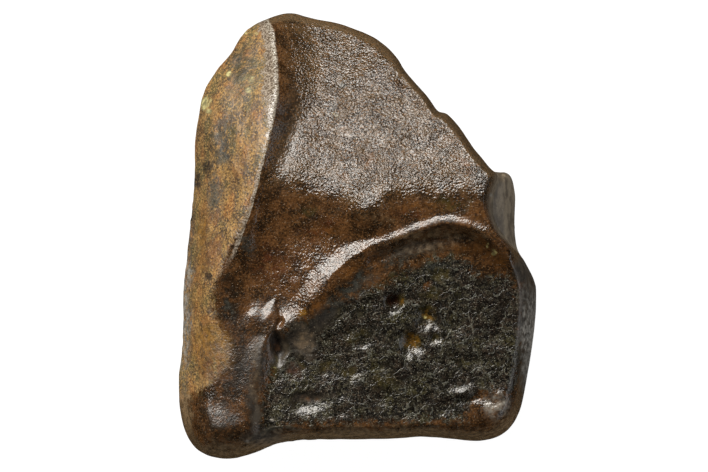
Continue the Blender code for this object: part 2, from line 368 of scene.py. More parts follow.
@dataclass(frozen=True)
class Girdle:
    """The tooth's widest line, which its upper and lower sides both roll over to.

    Each point of the line is an x, a y, a height and the radius of the upper side's roll.
    """

    centre: Pair = (0.0, -1.5)
    smoothing: float = 0.22
    samples: int = 7
    nick_fade: int = 12
    line: SmoothLine = SmoothLine(
        (
            (9.97, -3.6, 5.2, 1.1), (9.85, -2.55, 5.2, 1.0), (9.37, -1.48, 5.0, 0.8),
            (8.96, -0.75, 4.8, 0.5), (8.81, 0.3, 4.6, 0.7), (8.82, 2.1, 4.5, 0.8),
            (8.66, 3.1, 4.6, 0.7), (8.3, 3.52, 4.8, 0.5), (7.62, 3.58, 5.4, 0.4),
            (7.05, 4.15, 5.4, 0.45), (6.5, 4.75, 5.2, 0.45), (5.84, 5.79, 4.8, 0.45),
            (5.06, 6.72, 4.4, 0.45), (4.45, 6.98, 4.2, 0.35), (3.85, 7.85, 3.9, 0.35),
            (2.75, 9.1, 3.4, 0.4), (2.1, 10.1, 3.1, 0.5), (0.98, 11.08, 2.8, 0.6),
            (-0.6, 11.75, 2.6, 0.5), (-2.38, 12.2, 2.5, 0.5), (-3.7, 12.5, 2.5, 0.7),
            (-4.9, 12.28, 2.6, 0.8), (-6.1, 11.65, 2.8, 0.9), (-7.13, 10.26, 3.2, 1.0),
            (-8.03, 9.14, 3.5, 1.1), (-8.72, 7.47, 3.8, 1.2), (-9.05, 5.6, 4.0, 1.2),
            (-9.06, 3.8, 4.1, 1.2), (-9.3, 1.2, 4.2, 1.2), (-9.65, -2.6, 4.4, 1.3),
            (-9.8, -6.0, 4.6, 1.3), (-9.99, -8.6, 4.7, 1.5), (-9.75, -10.7, 4.7, 1.7),
            (-8.95, -12.05, 4.7, 1.9), (-7.4, -12.5, 4.8, 1.9), (-5.75, -12.15, 5.0, 1.4),
            (-4.2, -11.58, 5.2, 1.0), (-1.6, -11.38, 5.4, 0.8), (1.8, -11.33, 5.6, 0.8),
            (3.5, -11.23, 5.6, 0.8), (5.2, -11.38, 5.6, 0.9), (6.9, -11.44, 5.6, 1.1),
            (8.2, -11.0, 5.5, 1.3), (8.95, -10.1, 5.4, 1.3), (9.33, -8.7, 5.3, 1.2),
            (9.72, -6.2, 5.2, 1.1),
        ),
        closed=True,
        steps=12,
    )

    def at(self, bearing: np.ndarray) -> list[np.ndarray]:
        """The girdle in each direction.

        Args:
            bearing: Angles around the centre, in radians.

        Returns:
            The girdle's radius, its height and the radius of the edge there.
        """
        dense = self.line.dense()
        offset = dense[:, :2] - np.array(self.centre)
        around = np.arctan2(offset[:, 1], offset[:, 0])
        order = np.argsort(around)
        columns = [np.hypot(offset[:, 0], offset[:, 1]), dense[:, 2], dense[:, 3]]
        return [np.interp(bearing, around[order], c[order], period=2 * np.pi) for c in columns]

    def plan(self, bearing: np.ndarray, share: np.ndarray, radius: np.ndarray) -> np.ndarray:
        """Plan points inside the girdle, whose nicks fade inwards.

        Args:
            bearing: Angles around the centre, in radians.
            share: The share of the radius that each point is out.
            radius: The girdle's radius at each bearing.

        Returns:
            One row of x and y for each point.
        """
        turns = np.linspace(-self.smoothing, self.smoothing, self.samples)
        smoothed = np.mean([self.at(bearing + turn)[0] for turn in turns], axis=0)
        heading = np.stack([np.cos(bearing), np.sin(bearing)], axis=1)
        reach = share * mix(smoothed, radius, share**self.nick_fade)
        return np.array(self.centre) + heading * reach[:, None]


@dataclass(frozen=True)
class WornFlank:
    """The dentine slope that wear cut left of the carina, from that crest down to the girdle.

    Each point of the carina is an x, a y and the crest's height. The dentine's line is where the
    enamel's cut edge ends and the dentine starts.
    """

    rise: float = 1.3
    bulge: float = 1.25
    slope: float = 0.9
    cut_width: Pair = (0.20, 1.00)
    cut_span: Pair = (5.8, 7.4)
    carina: SmoothLine = SmoothLine(
        (
            (-5.3, 12.6, 4.0), (-4.75, 11.2, 5.2), (-4.52, 9.6, 6.4), (-4.5, 7.9, 7.6),
            (-4.75, 6.1, 8.3), (-5.15, 4.4, 8.75), (-5.6, 2.6, 8.9), (-6.1, 0.9, 8.9),
            (-6.75, -0.9, 8.8), (-7.45, -2.6, 8.6), (-7.6, -4.6, 8.4), (-7.45, -6.8, 8.4),
            (-7.75, -8.7, 8.4), (-8.25, -10.3, 8.5), (-8.5, -11.6, 8.3), (-8.6, -13.0, 8.0),
        ),
    )
    dentine: SmoothLine = SmoothLine(
        (
            (-6.2, 13.0), (-5.55, 11.6), (-5.25, 10.4), (-5.25, 8.2), (-5.0, 6.6), (-5.15, 4.9),
            (-5.55, 3.4), (-5.85, 2.3), (-6.3, 1.0), (-6.85, -0.4), (-7.5, -1.7), (-7.95, -3.3),
            (-7.85, -4.6), (-7.3, -5.8), (-6.95, -6.6), (-7.2, -7.4), (-8.0, -8.1), (-8.8, -8.7),
            (-9.6, -9.1), (-10.8, -9.4),
        ),
    )
    hollows: tuple[Hollow, ...] = Hollow.rows(
        (-7.7, 2.0, 0.7, 1.6, 0.15), (-7.45, 5.6, 0.5, 1.0, 0.16, -0.1),
        (-8.2, 4.4, 0.34, 0.42, 0.2), (-6.7, 9.8, 0.4, 0.4, 0.12), (-8.25, -2.25, 0.28, 0.32, 0.16),
        (-8.1, -5.8, 0.9, 0.9, 0.04), (-8.46, 7.4, 0.2, 0.2, -0.08),
        (-7.13, 9.14, 0.14, 0.14, -0.05),
    )
    stains: tuple[Stain, ...] = (
        *Stain.rows(
            Tint.SLATE,
            (-6.74, 9.82, 0.4, 0.32), (-7.5, 6.0, 0.42, 0.8, 1.1, -0.25), (-7.6, 4.7, 0.5, 0.9),
            (-7.95, 2.2, 0.52, 1.1, 1.2), (-6.05, -0.5, 0.5, 0.9, 0.6, 0.3),
            (-9.3, -1.5, 0.45, 3.6, 0.55), (-9.45, -6.0, 0.35, 2.6, 0.45),
        ),
        *Stain.rows(
            Tint.DARK,
            (-7.35, 5.1, 0.22, 0.9, 0.6), (-6.4, 9.6, 0.9, 2.0, 0.34), (-8.35, 3.9, 0.5, 0.6, 0.8),
            (-8.2, 5.4, 0.3, 0.9, 0.5), (-8.15, -2.2, 0.3, 0.3), (-8.4, -7.4, 0.8, 0.6, 0.55),
            (-9.1, 3.0, 0.25, 0.6, 0.8), (-9.35, 1.0, 0.2, 0.4, 0.8),
        ),
        *Stain.rows(
            Tint.OLIVE,
            (-7.3, 10.9, 0.6, 0.9, 0.6, -0.6), (-6.9, 5.3, 0.25, 0.9, 0.7, -0.2),
            (-6.5, 9.0, 1.1, 2.8, 0.6), (-8.3, 6.0, 0.6, 1.8, 0.4),
        ),
        *Stain.rows(
            Tint.RUST,
            (-8.1, -0.8, 0.55, 1.3, 0.75), (-6.6, 3.6, 0.5, 1.6, 0.5, -0.3),
            (-8.05, 1.1, 0.7, 0.5, 0.6), (-8.1, -7.6, 1.1, 0.7, 0.6), (-8.1, -6.6, 1.0, 0.9, 0.45),
            (-5.9, 6.0, 0.5, 3.2, 0.34),
        ),
        *Stain.rows(Tint.RED, (-8.4, -7.0, 0.7, 0.5, 0.45)),
        *Stain.rows(
            Tint.GOLD,
            (-8.95, -3.6, 0.6, 3.6, 0.4), (-8.6, -0.2, 0.6, 2.6, 0.55), (-8.2, -6.4, 1.1, 1.4),
        ),
        *Stain.rows(
            Tint.YELLOW,
            (-7.13, 9.14, 0.2, 0.2, 1.2), (-5.79, 11.33, 0.14, 0.14), (-6.4, 11.4, 0.22, 0.1),
            (-6.07, 8.08, 0.2, 0.17, 1.1), (-6.05, 8.7, 0.3, 0.3, 0.45),
            (-8.46, 7.4, 0.3, 0.3, 1.2), (-8.2, 6.95, 0.2, 0.2, 0.6),
        ),
    )

    def height(
        self, crest_gap: np.ndarray, crest: np.ndarray, edge_gap: np.ndarray, foot: np.ndarray
    ) -> np.ndarray:
        """The flank's height.

        Args:
            crest_gap: Gap from the carina, positive on the enamel's side.
            crest: The carina's height at its nearest point.
            edge_gap: Gap from the girdle.
            foot: The girdle's height.

        Returns:
            The height at each point, which runs on past the carina as a plane.
        """
        narrowest = 1e-6
        left = np.maximum(-crest_gap, 0.0)
        share = left / np.maximum(left + edge_gap, narrowest)
        face = mix(crest, foot + self.rise, share**self.bulge)
        return face + self.slope * np.maximum(crest_gap, 0.0)

    def cut_share(self, crest_gap: np.ndarray, plan: np.ndarray) -> np.ndarray:
        """Where each point lies across the enamel's cut edge, which widens towards the tip."""
        return crest_gap / mix(*self.cut_width, smooth_step(*self.cut_span, plan[:, 1]))


@dataclass(frozen=True)
class EnamelFace:
    """The tilted enamel face, with a gutter along the carina and a basin at its foot.

    The grained plane ends at a fold, and a spur of it runs on below: x of its middle, half width
    and length. To the left the fold rises: the two x that it rises between, and how much.
    """

    point: Triple = (2.5, 2.75, 9.7)
    tilt: Pair = (0.12, 0.52)
    levelling: float = 0.33
    tip_bend: Pair = (6.0, 0.025)
    spur: Triple = (0.5, 1.2, 1.15)
    spur_fade: Pair = (1.2, 3.2)
    spur_melt: float = 0.4
    fold_rise: Triple = (-1.5, -4.0, 0.35)
    basin_depth: float = 0.62
    basin_centre: Pair = (-4.1, -1.9)
    basin_size: Pair = (3.7, 3.6)
    gutter_width: Pair = (1.45, 2.6)
    gutter_span: Pair = (5.0, 8.5)
    gutter_share: float = 0.45
    gutter_lip: float = 0.3
    gutter_limit: float = 2.0
    hollows: tuple[Hollow, ...] = Hollow.rows(
        (2.45, 8.6, 0.38, 0.45, 0.16, 0.4), (4.33, 5.84, 0.16, 0.16, 0.05),
        (-0.98, 8.25, 0.3, 0.3, 0.05), (-1.3, 6.4, 0.35, 0.5, 0.05, 0.5),
        (4.05, 3.94, 0.25, 0.22, 0.04), (4.4, 5.2, 0.4, 0.3, 0.05), (5.2, 3.8, 0.3, 0.6, 0.05, 0.6),
        (-2.0, 3.1, 0.3, 0.2, 0.06),
    )
    stains: tuple[Stain, ...] = (
        *Stain.rows(Tint.SLATE, (-0.8, 8.3, 0.32, 0.22, 0.9), (-7.3, -3.9, 0.35, 0.9, 0.5, 0.2)),
        *Stain.rows(Tint.YELLOW, (-1.3, 6.7, 0.35, 0.14, 0.35)),
        *Stain.rows(
            Tint.RUST,
            (-0.6, 5.9, 0.35, 0.25, 0.5), (0.6, 4.2, 0.45, 0.6, 0.5), (-0.7, 3.3, 0.5, 0.3, 0.4),
            (4.8, 5.3, 0.4, 0.3, 0.5), (5.95, 3.9, 0.22, 0.7, 0.8, 0.6),
            (-1.7, 0.25, 0.9, 0.5, 0.7), (3.6, 1.55, 1.4, 0.45, 0.7), (6.6, 1.2, 0.5, 0.5, 0.6),
            (-2.2, -3.9, 0.35, 0.8, 0.8, -0.6), (-0.4, -2.0, 0.3, 1.0, 0.8, -0.8),
        ),
        # Dark spots, and painted shade down the gutter beside the carina, which turns from the
        # light.
        *Stain.rows(
            Tint.DARK,
            (4.6, 2.7, 0.25, 0.25, 0.7), (-1.9, 3.15, 0.35, 0.15, 0.8), (4.7, 2.0, 0.4, 0.6, 0.7),
            (-2.5, 0.9, 0.5, 0.35, 0.6), (-7.2, -3.6, 0.7, 1.9, 0.75),
            (-3.95, 6.6, 0.5, 3.2, 0.42, -0.06),
        ),
        *Stain.rows(
            Tint.RED,
            (-2.4, 0.1, 1.2, 0.6, 0.5), (-1.5, 0.8, 0.6, 0.3, 0.6), (-4.6, -1.6, 1.6, 1.6, 0.5),
            (2.6, 1.2, 1.2, 0.4, 0.5),
        ),
        *Stain.rows(Tint.OLIVE, (5.0, 1.7, 1.4, 0.5, 0.6), (-2.8, 1.3, 0.6, 0.4, 0.6)),
        *Stain.rows(Tint.GOLD, (-3.05, -4.3, 0.3, 0.24, 0.7, 0.6)),
    )

    def fold(self, plan: np.ndarray) -> tuple[np.ndarray, np.ndarray]:
        """The fold below the grained plane.

        Args:
            plan: One row of x and y for each point.

        Returns:
            How far past the fold each point is, and how far a spur of the plane runs below it.
        """
        x, y = plan.T
        centre, half, length = self.spur
        start, end, rise = self.fold_rise
        past = y - self.point[1] - rise * smooth_step(-start, -end, -x)
        return past, length * np.exp(-(((x - centre) / half) ** 2))

    def gutter(self, plan: np.ndarray) -> np.ndarray:
        """The gutter's width at each point."""
        return mix(*self.gutter_width, smooth_step(*self.gutter_span, plan[:, 1]))

    def plane_gap(self, plan: np.ndarray, crest_gap: np.ndarray) -> np.ndarray:
        """The gap from the plane's border, where the fold or the gutter's middle bounds it."""
        past, reach = self.fold(plan)
        return np.minimum(past + reach, crest_gap - self.gutter_share * self.gutter(plan))

    def height(self, plan: np.ndarray, crest_gap: np.ndarray, crest: np.ndarray) -> np.ndarray:
        """The enamel's height.

        Args:
            plan: One row of x and y for each point.
            crest_gap: Gap from the carina, positive on the enamel's side.
            crest: The carina's height at its nearest point.

        Returns:
            The height at each point.
        """
        x, y = plan.T
        px, _, pz = self.point
        past, reach = self.fold(plan)
        fall = 0.5 * (past + np.sqrt(past**2 + 4 * self.levelling**2))
        face = pz + self.tilt[0] * (x - px) - self.tilt[1] * fall
        run = soft_min(fall - past, reach, self.spur_melt)
        run = run * (1.0 - smooth_step(*self.spur_fade, -past))
        face = face + self.tilt[1] * np.maximum(run, 0.0)
        face = face - self.tip_bend[1] * np.maximum(y - self.tip_bend[0], 0.0) ** 2
        across = (plan - np.array(self.basin_centre)) / np.array(self.basin_size)
        face = face - self.basin_depth * np.exp(-(across**2).sum(1))
        share = np.clip(1.0 - crest_gap / self.gutter(plan), 0.0, self.gutter_limit)
        return face + np.maximum(crest - face, self.gutter_lip) * share**2


@dataclass(frozen=True)
class RootFace:
    """The resorbed root face in its rim, with its pits, dents, ridges and cracks.

    Each point of the rim is an x, a y, the height of its welt and the widths of its outer and inner
    slopes, and each point of the step is an x, a y and the step's width. The stains and sheens also
    take in the sill between the enamel and the rim, the walls and the lower left lobe.
    """

    point: Triple = (3.0, -5.0, 9.0)
    tilt_y: float = 0.05
    curve_x: float = 0.006
    collar_fall_y: Pair = (0.5, -3.5)
    collar_fall_x: Pair = (-5.5, -2.0)
    low_fall_y: Pair = (7.0, 9.5)
    low_fall_x: Pair = (-6.5, -4.7)
    rim: SmoothLine = SmoothLine(
        (
            (-5.56, -6.96, 0.1, 1.0, 1.1), (-5.15, -5.95, 0.14, 0.8, 0.8),
            (-4.1, -5.25, 0.2, 1.0, 0.8), (-3.05, -4.55, 0.36, 1.25, 1.0),
            (-2.15, -3.5, 0.385, 1.32, 1.1), (-1.3, -2.35, 0.365, 1.32, 1.1),
            (-0.4, -1.5, 0.3, 1.2, 1.0), (0.6, -0.8, 0.22, 0.8, 0.8),
            (1.54, -0.42, 0.19, 0.58, 0.7), (2.4, -0.1, 0.17, 0.56, 0.7),
            (3.5, 0.34, 0.16, 0.56, 0.7), (4.6, 0.66, 0.155, 0.56, 0.7),
            (5.45, 0.66, 0.155, 0.56, 0.7), (6.3, 0.44, 0.165, 0.54, 0.7),
            (7.13, -0.02, 0.16, 0.5, 0.7), (8.0, -0.9, 0.1, 0.28, 0.6),
            (8.75, -2.1, 0.06, 0.4, 0.6), (9.05, -3.6, 0.05, 0.5, 0.9),
            (9.02, -6.4, 0.05, 0.5, 0.9), (8.8, -8.9, 0.1, 0.4, 0.6), (8.1, -10.25, 0.12, 0.4, 0.6),
            (6.4, -10.7, 0.08, 0.4, 0.6), (2.0, -10.65, 0.06, 0.4, 0.6),
            (-2.0, -10.65, 0.04, 0.4, 0.9), (-4.33, -10.75, 0.04, 0.5, 0.9),
            (-5.75, -11.3, 0.08, 0.6, 0.9), (-5.95, -9.6, 0.1, 1.0, 1.1),
            (-5.8, -8.2, 0.1, 1.0, 1.1),
        ),
        closed=True,
    )
    field: SmoothLine = SmoothLine(
        (
            (-3.8, -4.85), (-2.0, -4.3), (-0.95, -3.6), (0.15, -3.1), (1.35, -2.65), (2.1, -2.1),
            (2.95, -1.6), (4.05, -1.2), (5.3, -1.1), (6.3, -1.5), (6.9, -2.25), (8.0, -2.0),
            (8.75, -2.3), (9.15, -3.6), (9.2, -6.0), (8.9, -8.5), (8.15, -8.85), (7.15, -8.7),
            (6.4, -9.1), (6.1, -9.9), (5.6, -10.45), (1.5, -10.45), (-2.65, -10.55), (-3.9, -10.65),
            (-5.0, -11.0), (-5.55, -10.55), (-5.35, -9.3), (-5.0, -8.2), (-4.9, -7.3),
            (-4.35, -6.1),
        ),
        closed=True,
    )
    step: SmoothLine = SmoothLine(
        (
            (7.7, 4.6, 0.6), (7.35, 3.4, 0.6), (7.0, 2.3, 0.6), (7.05, 1.3, 0.5), (7.6, 0.2, 0.3),
            (8.5, -0.8, 0.3), (9.6, -1.6, 0.3),
        ),
    )
    pitting: Pitting = Pitting()
    pitting_fade: Pair = (0.0, 0.7)
    lobe_point: Triple = (8.0, 1.5, 6.8)
    lobe_tilt: Pair = (-0.65, 0.05)
    broad: tuple[Hollow, ...] = Hollow.rows(
        (-2.3, -6.7, 2.6, 2.5, 0.3), (-7.8, -9.6, 1.8, 1.1, 0.11), (-7.6, -11.3, 1.7, 1.6, -0.08),
        (7.8, -9.9, 1.2, 1.1, -0.3),
    )
    sill: tuple[Hollow, ...] = Hollow.rows(
        (-4.7, -4.85, 1.25, 0.55, -0.21), (-5.6, -4.3, 0.4, 0.5, -0.1, -0.5),
        (-4.8, -4.2, 0.34, 0.6, -0.14, -0.5), (-3.9, -4.0, 0.3, 0.5, -0.04, -0.5),
        (-4.3, -4.85, 0.2, 0.24, 0.26),
    )
    pits: tuple[Hollow, ...] = Hollow.rows(
        (-4.4, -6.22, 0.44, 0.8, 0.5, 0.0, 2.0), (-3.4, -7.4, 0.66, 0.72, 0.09),
        (-4.62, -7.9, 0.42, 1.4, 0.08), (-2.7, -9.35, 0.92, 0.52, 0.25, 0.06),
        (-1.7, -7.35, 0.62, 0.52, 0.06), (2.0, -3.72, 0.46, 0.46, 0.5, 0.0, 1.8),
        (3.78, -4.62, 0.52, 0.6, 0.36), (2.95, -6.12, 0.66, 0.62, 0.44),
        (2.93, -6.85, 0.17, 0.4, -0.17), (4.28, -5.7, 0.3, 0.36, 0.22),
        (4.65, -2.22, 0.36, 0.36, 0.09), (3.94, -2.71, 0.26, 0.24, 0.06),
        (5.45, -5.0, 0.55, 0.6, 0.13), (7.6, -5.6, 0.5, 0.6, 0.14),
        (6.0, -8.7, 0.42, 0.34, -0.16, 0.3), (-0.2, -7.55, 0.5, 0.4, 0.12, 0.3),
        (1.3, -7.4, 0.5, 0.3, 0.11, 0.1), (0.2, -5.9, 0.5, 0.3, 0.08, 0.5),
        (-0.6, -5.4, 0.45, 0.28, 0.07, 0.4), (6.7, -6.9, 0.6, 0.45, 0.12),
        (5.3, -7.3, 0.55, 0.45, 0.1), (1.5, -9.0, 0.6, 0.45, 0.08), (4.9, -9.6, 0.6, 0.4, 0.1),
    )
    ridges: tuple[Groove, ...] = (
        Groove(((5.1, -9.0), (5.85, -8.75), (6.85, -8.45), (7.45, -8.7), (8.1, -8.9)), 0.24, -0.07),
        Groove(((5.4, -9.25), (6.5, -9.05), (7.6, -9.15), (8.1, -9.2)), 0.2, 0.07),
        Groove(
            ((-1.43, -6.85), (-0.7, -6.63), (0.14, -6.46), (0.81, -6.29), (1.54, -6.24)),
            0.14, -0.025,
        ),
        Groove(((-1.7, -3.95), (-0.42, -3.61), (0.7, -3.27), (1.82, -3.1)), 0.14, -0.05),
        Groove(
            ((-1.6, -2.45), (-0.98, -1.82), (-0.35, -1.25), (0.25, -0.81), (0.9, -0.5)),
            0.12, -0.05,
        ),
        Groove(
            ((0.81, -1.48), (1.82, -0.95), (2.94, -0.55), (4.05, -0.25), (5.45, -0.14)),
            0.2, 0.07,
        ),
        Groove(
            ((0.42, -2.04), (1.54, -1.48), (2.66, -1.1), (4.05, -0.8), (5.6, -0.6)),
            0.18, -0.03,
        ),
        Groove(((-4.8, -5.35), (-5.25, -6.1), (-5.4, -7.4)), 0.14, -0.06),
    )
    cracks: tuple[Groove, ...] = (
        Groove(
            ((2.6, -6.96), (3.05, -7.8), (2.94, -8.64), (3.16, -9.48), (3.33, -10.21)),
            0.05, 0.04,
        ),
        Groove(
            ((4.05, -4.61), (4.61, -5.57), (4.45, -6.52), (4.28, -7.52), (4.22, -8.92)),
            0.05, 0.04,
        ),
        Groove(((6.07, -3.89), (6.29, -4.73), (6.35, -5.57), (6.52, -6.52)), 0.05, 0.04),
        Groove(((-1.43, -6.85), (-0.7, -6.63), (0.14, -6.46), (0.81, -6.29)), 0.05, 0.03),
        Groove(((-1.54, -5.17), (-1.09, -4.61), (-0.59, -4.22)), 0.05, 0.04),
        Groove(((-1.43, -3.89), (-0.42, -3.61), (0.7, -3.27), (1.82, -3.1)), 0.05, 0.03),
        Groove(((-1.1, -10.5), (-1.05, -11.4)), 0.06, 0.08),
        Groove(((3.66, -10.32), (3.72, -11.27)), 0.06, 0.08),
        Groove(((3.22, 2.54), (3.78, 2.43), (4.28, 2.21)), 0.04, 0.03),
        Groove(((-5.1, -10.7), (-4.05, -10.6), (-2.95, -10.75), (-1.0, -10.5)), 0.06, -0.03),
        Groove(((-3.6, -6.4), (-3.1, -6.4), (-2.5, -6.55)), 0.05, 0.05),
    )
    furrow: Groove = Groove(((-4.7, -7.2), (-4.85, -9.2), (-5.05, -10.6)), 0.46, 0.06)
    fissure: Groove = Groove(((-4.38, -3.7), (-4.33, -4.3), (-4.22, -4.75)), 0.08, 0.09)
    stains: tuple[Stain, ...] = (
        *Stain.rows(
            Tint.OLIVE,
            (3.78, -4.38, 0.52, 0.55, 1.1), (2.97, -5.95, 0.6, 0.45, 1.1), (4.3, -5.7, 0.28, 0.32),
            (4.65, -2.25, 0.34, 0.34, 1.1), (2.45, -3.5, 0.22, 0.42, 1.1),
            (-1.7, -7.35, 0.6, 0.45, 0.7), (-0.4, -7.6, 0.6, 0.4, 0.8),
            (-0.1, -5.6, 1.0, 0.4, 0.6, 0.4), (1.4, -8.1, 1.0, 0.5, 0.6),
            (-3.1, -7.2, 0.2, 0.4, 0.6), (-4.6, -7.3, 0.22, 0.6, 0.9), (4.1, -3.3, 0.9, 0.45, 0.6),
            (2.0, -2.5, 0.7, 0.4, 0.6),
        ),
        *Stain.rows(
            Tint.RUST,
            (2.97, -5.85, 0.4, 0.36, 0.5), (3.94, -2.75, 0.24, 0.22, 1.1),
            (-2.6, -9.15, 0.85, 0.25, 0.5), (5.9, -0.7, 1.3, 0.32, 0.8, -0.15),
            (7.6, -1.3, 0.7, 0.5, 0.8, -0.6), (3.3, -1.5, 0.5, 0.32, 0.6),
            (1.5, 1.03, 0.9, 0.4, 0.5), (7.2, -10.6, 1.3, 0.9, 0.3, 0.5),
            (-4.5, -6.2, 0.26, 0.6, 0.6),
        ),
        *Stain.rows(
            Tint.YELLOW,
            (3.8, -4.62, 0.08, 0.07), (7.58, -0.87, 0.14, 0.12, 1.1), (7.2, -0.6, 0.08, 0.1, 0.9),
            (-4.61, -7.35, 0.08, 0.06),
        ),
        *Stain.rows(
            Tint.GOLD,
            (2.97, -5.9, 0.46, 0.44, 0.9), (3.9, -4.45, 0.36, 0.34, 0.6),
            (2.5, -3.6, 0.12, 0.3, 0.6),
        ),
        # Dark spots, and painted shade in the pits, on the dent's upper wall and in the saddle by
        # the lobe.
        *Stain.rows(
            Tint.DARK,
            (1.96, -3.58, 0.44, 0.38, 0.7), (-2.6, -8.75, 1.1, 0.16, 0.8),
            (8.0, -3.6, 0.8, 0.8, 0.6), (-0.5, -2.8, 2.3, 0.5, 0.56, 0.7),
            (-4.45, -7.6, 0.35, 0.8, 0.6), (5.6, 1.5, 1.2, 0.5, 0.36, -0.2),
            (8.3, -8.6, 0.4, 0.3, 0.8), (-4.5, -6.3, 0.34, 1.0, 0.9), (6.9, 2.6, 0.34, 1.3, 0.7),
            (9.7, -4.2, 0.12, 0.2, 0.8), (9.7, -6.1, 0.12, 0.24, 0.8), (-6.2, -6.0, 0.4, 1.6, 0.6),
            (-6.7, -7.4, 1.1, 2.1, 0.95, -0.3), (-7.4, -10.3, 2.1, 1.7, 0.52),
            (-7.3, -8.8, 1.4, 0.7, 0.9, 0.15),
        ),
        *Stain.rows(Tint.RED, (1.96, -3.6, 0.4, 0.36, 0.8), (-3.45, -7.55, 0.45, 0.5, 0.5)),
        *Stain.rows(
            Tint.SLATE,
            (4.3, -1.7, 1.0, 0.5, 0.5), (-0.7, -3.2, 2.2, 0.6, 0.62, 0.76),
            (2.4, -1.2, 1.5, 0.5, 0.5, 0.35), (-5.2, -11.0, 0.8, 0.45, 0.8),
            (-4.0, -10.75, 1.2, 0.16, 0.8),
        ),
        # Painted sheen on the right wall, left edge and lower right corner; the dots are painted
        # glints.
        *Stain.rows(
            Tint.PAINTED_SHEEN,
            (7.8, -9.5, 0.8, 0.8, 0.66), (9.65, -6.2, 0.6, 3.2, 0.85), (-9.7, -3.8, 0.5, 4.0, 0.7),
            (-6.85, -9.03, 0.06, 0.06), (-5.73, -10.43, 0.06, 0.06), (-6.12, -11.55, 0.14, 0.12),
            (-4.73, -10.21, 0.12, 0.1), (7.41, 2.27, 0.14, 0.08),
        ),
        *Stain.rows(
            Tint.SHEEN,
            (-1.5, -1.9, 2.4, 0.5, 0.5, 0.86), (-3.9, 5.6, 0.8, 3.6, 0.8, -0.12),
            (-4.9, -4.2, 1.5, 0.9, 0.8), (4.2, 0.5, 3.4, 0.5, 0.7, 0.06),
            (-6.9, -6.8, 1.4, 2.6, 1.1), (8.1, -9.6, 0.9, 0.8, 0.3), (-7.5, -10.0, 1.7, 1.5, 0.8),
        ),
        # Part the walls' own tan, part painted light on walls and the arch's inner wall that face
        # away from the lamps.
        *Stain.rows(
            Tint.TAN,
            (1.5, -11.2, 7.5, 0.55), (-5.2, -11.8, 2.6, 0.6, 1.0, 0.3),
            (-7.7, -12.2, 2.4, 0.8, 0.8), (-9.6, -9.9, 0.45, 1.8, 0.9),
            (8.5, -10.7, 1.2, 0.9, 0.9, 0.7), (4.6, -0.02, 2.4, 0.36, 0.85),
            (1.4, 1.0, 1.1, 0.4, 0.5), (-5.7, -7.6, 0.4, 2.2, 0.4), (-3.0, -5.7, 0.7, 0.7, 0.62),
            (3.6, -0.6, 2.6, 0.5, 0.5, 0.1),
        ),
        *Stain.rows(
            Tint.SMOOTH,
            (-3.1, -5.8, 0.9, 0.95, 1.2), (-3.5, -7.4, 0.6, 0.55, 0.5),
            (-2.65, -9.05, 1.05, 0.38, 0.9), (-4.4, -6.3, 0.55, 1.05, 1.3),
            (-2.0, -4.7, 1.5, 0.55, 0.9, 0.75), (-5.45, -6.9, 0.45, 2.0, 0.8),
            (-5.8, -9.4, 0.42, 2.3, 0.8), (-5.2, -11.3, 1.2, 0.6, 1.1),
            (0.6, -2.5, 1.6, 0.5, 0.5, 0.55), (3.4, -0.7, 2.8, 0.45, 0.6, 0.12),
            (9.6, -6.0, 0.6, 4.6, 1.3), (9.3, -1.9, 0.6, 0.8, 1.2),
        ),
    )

    def height(self, plan: np.ndarray) -> np.ndarray:
        """The root face before its hollows.

        Args:
            plan: One row of x and y for each point.

        Returns:
            The height at each point.
        """
        x, y = plan.T
        px, py, pz = self.point
        return pz + self.tilt_y * (y - py) - self.curve_x * (x - px) ** 2

    def set_in(self, outside: np.ndarray, plan: np.ndarray) -> np.ndarray:
        """Sets the root face into the height around it, with the welt of its rim.

        Args:
            outside: The height of the flank and the enamel.
            plan: One row of x and y for each point.

        Returns:
            The height of all three together.
        """
        gap, columns = self.rim.nearest(plan)
        welt, outer_width, inner_width = columns.T
        root = self.height(plan)
        fallen = smooth_step(*self.collar_fall_y, plan[:, 1])
        fallen *= smooth_step(*self.collar_fall_x, plan[:, 0])
        low = smooth_step(*self.low_fall_y, -plan[:, 1]) * smooth_step(*self.low_fall_x, plan[:, 0])
        fallen = np.maximum(fallen, low)
        joined = mix(mix(outside, root, fallen), root, smooth_step(0.0, inner_width, gap))
        outer = 0.5 + 0.5 * np.cos(np.pi * np.clip(gap / outer_width, -1.0, 0.0))
        inner = np.exp(-((np.maximum(gap, 0.0) / inner_width) ** 2))
        return joined + welt * outer * inner

    def stepped(self, above: np.ndarray, plan: np.ndarray) -> tuple[np.ndarray, np.ndarray]:
        """Sets the broken lobe a step below the rest.

        Args:
            above: The height of the rest.
            plan: One row of x and y for each point.

        Returns:
            The height of both together, and how far down the step each point is, from 0 to 1.
        """
        gap, width = self.step.nearest(plan)
        share = smooth_step(0.0, 1.0, -gap / width[:, 0])
        px, py, pz = self.lobe_point
        lobe = pz + self.lobe_tilt[0] * (plan[:, 0] - px) + self.lobe_tilt[1] * (plan[:, 1] - py)
        return mix(above, np.minimum(lobe, above), share), share


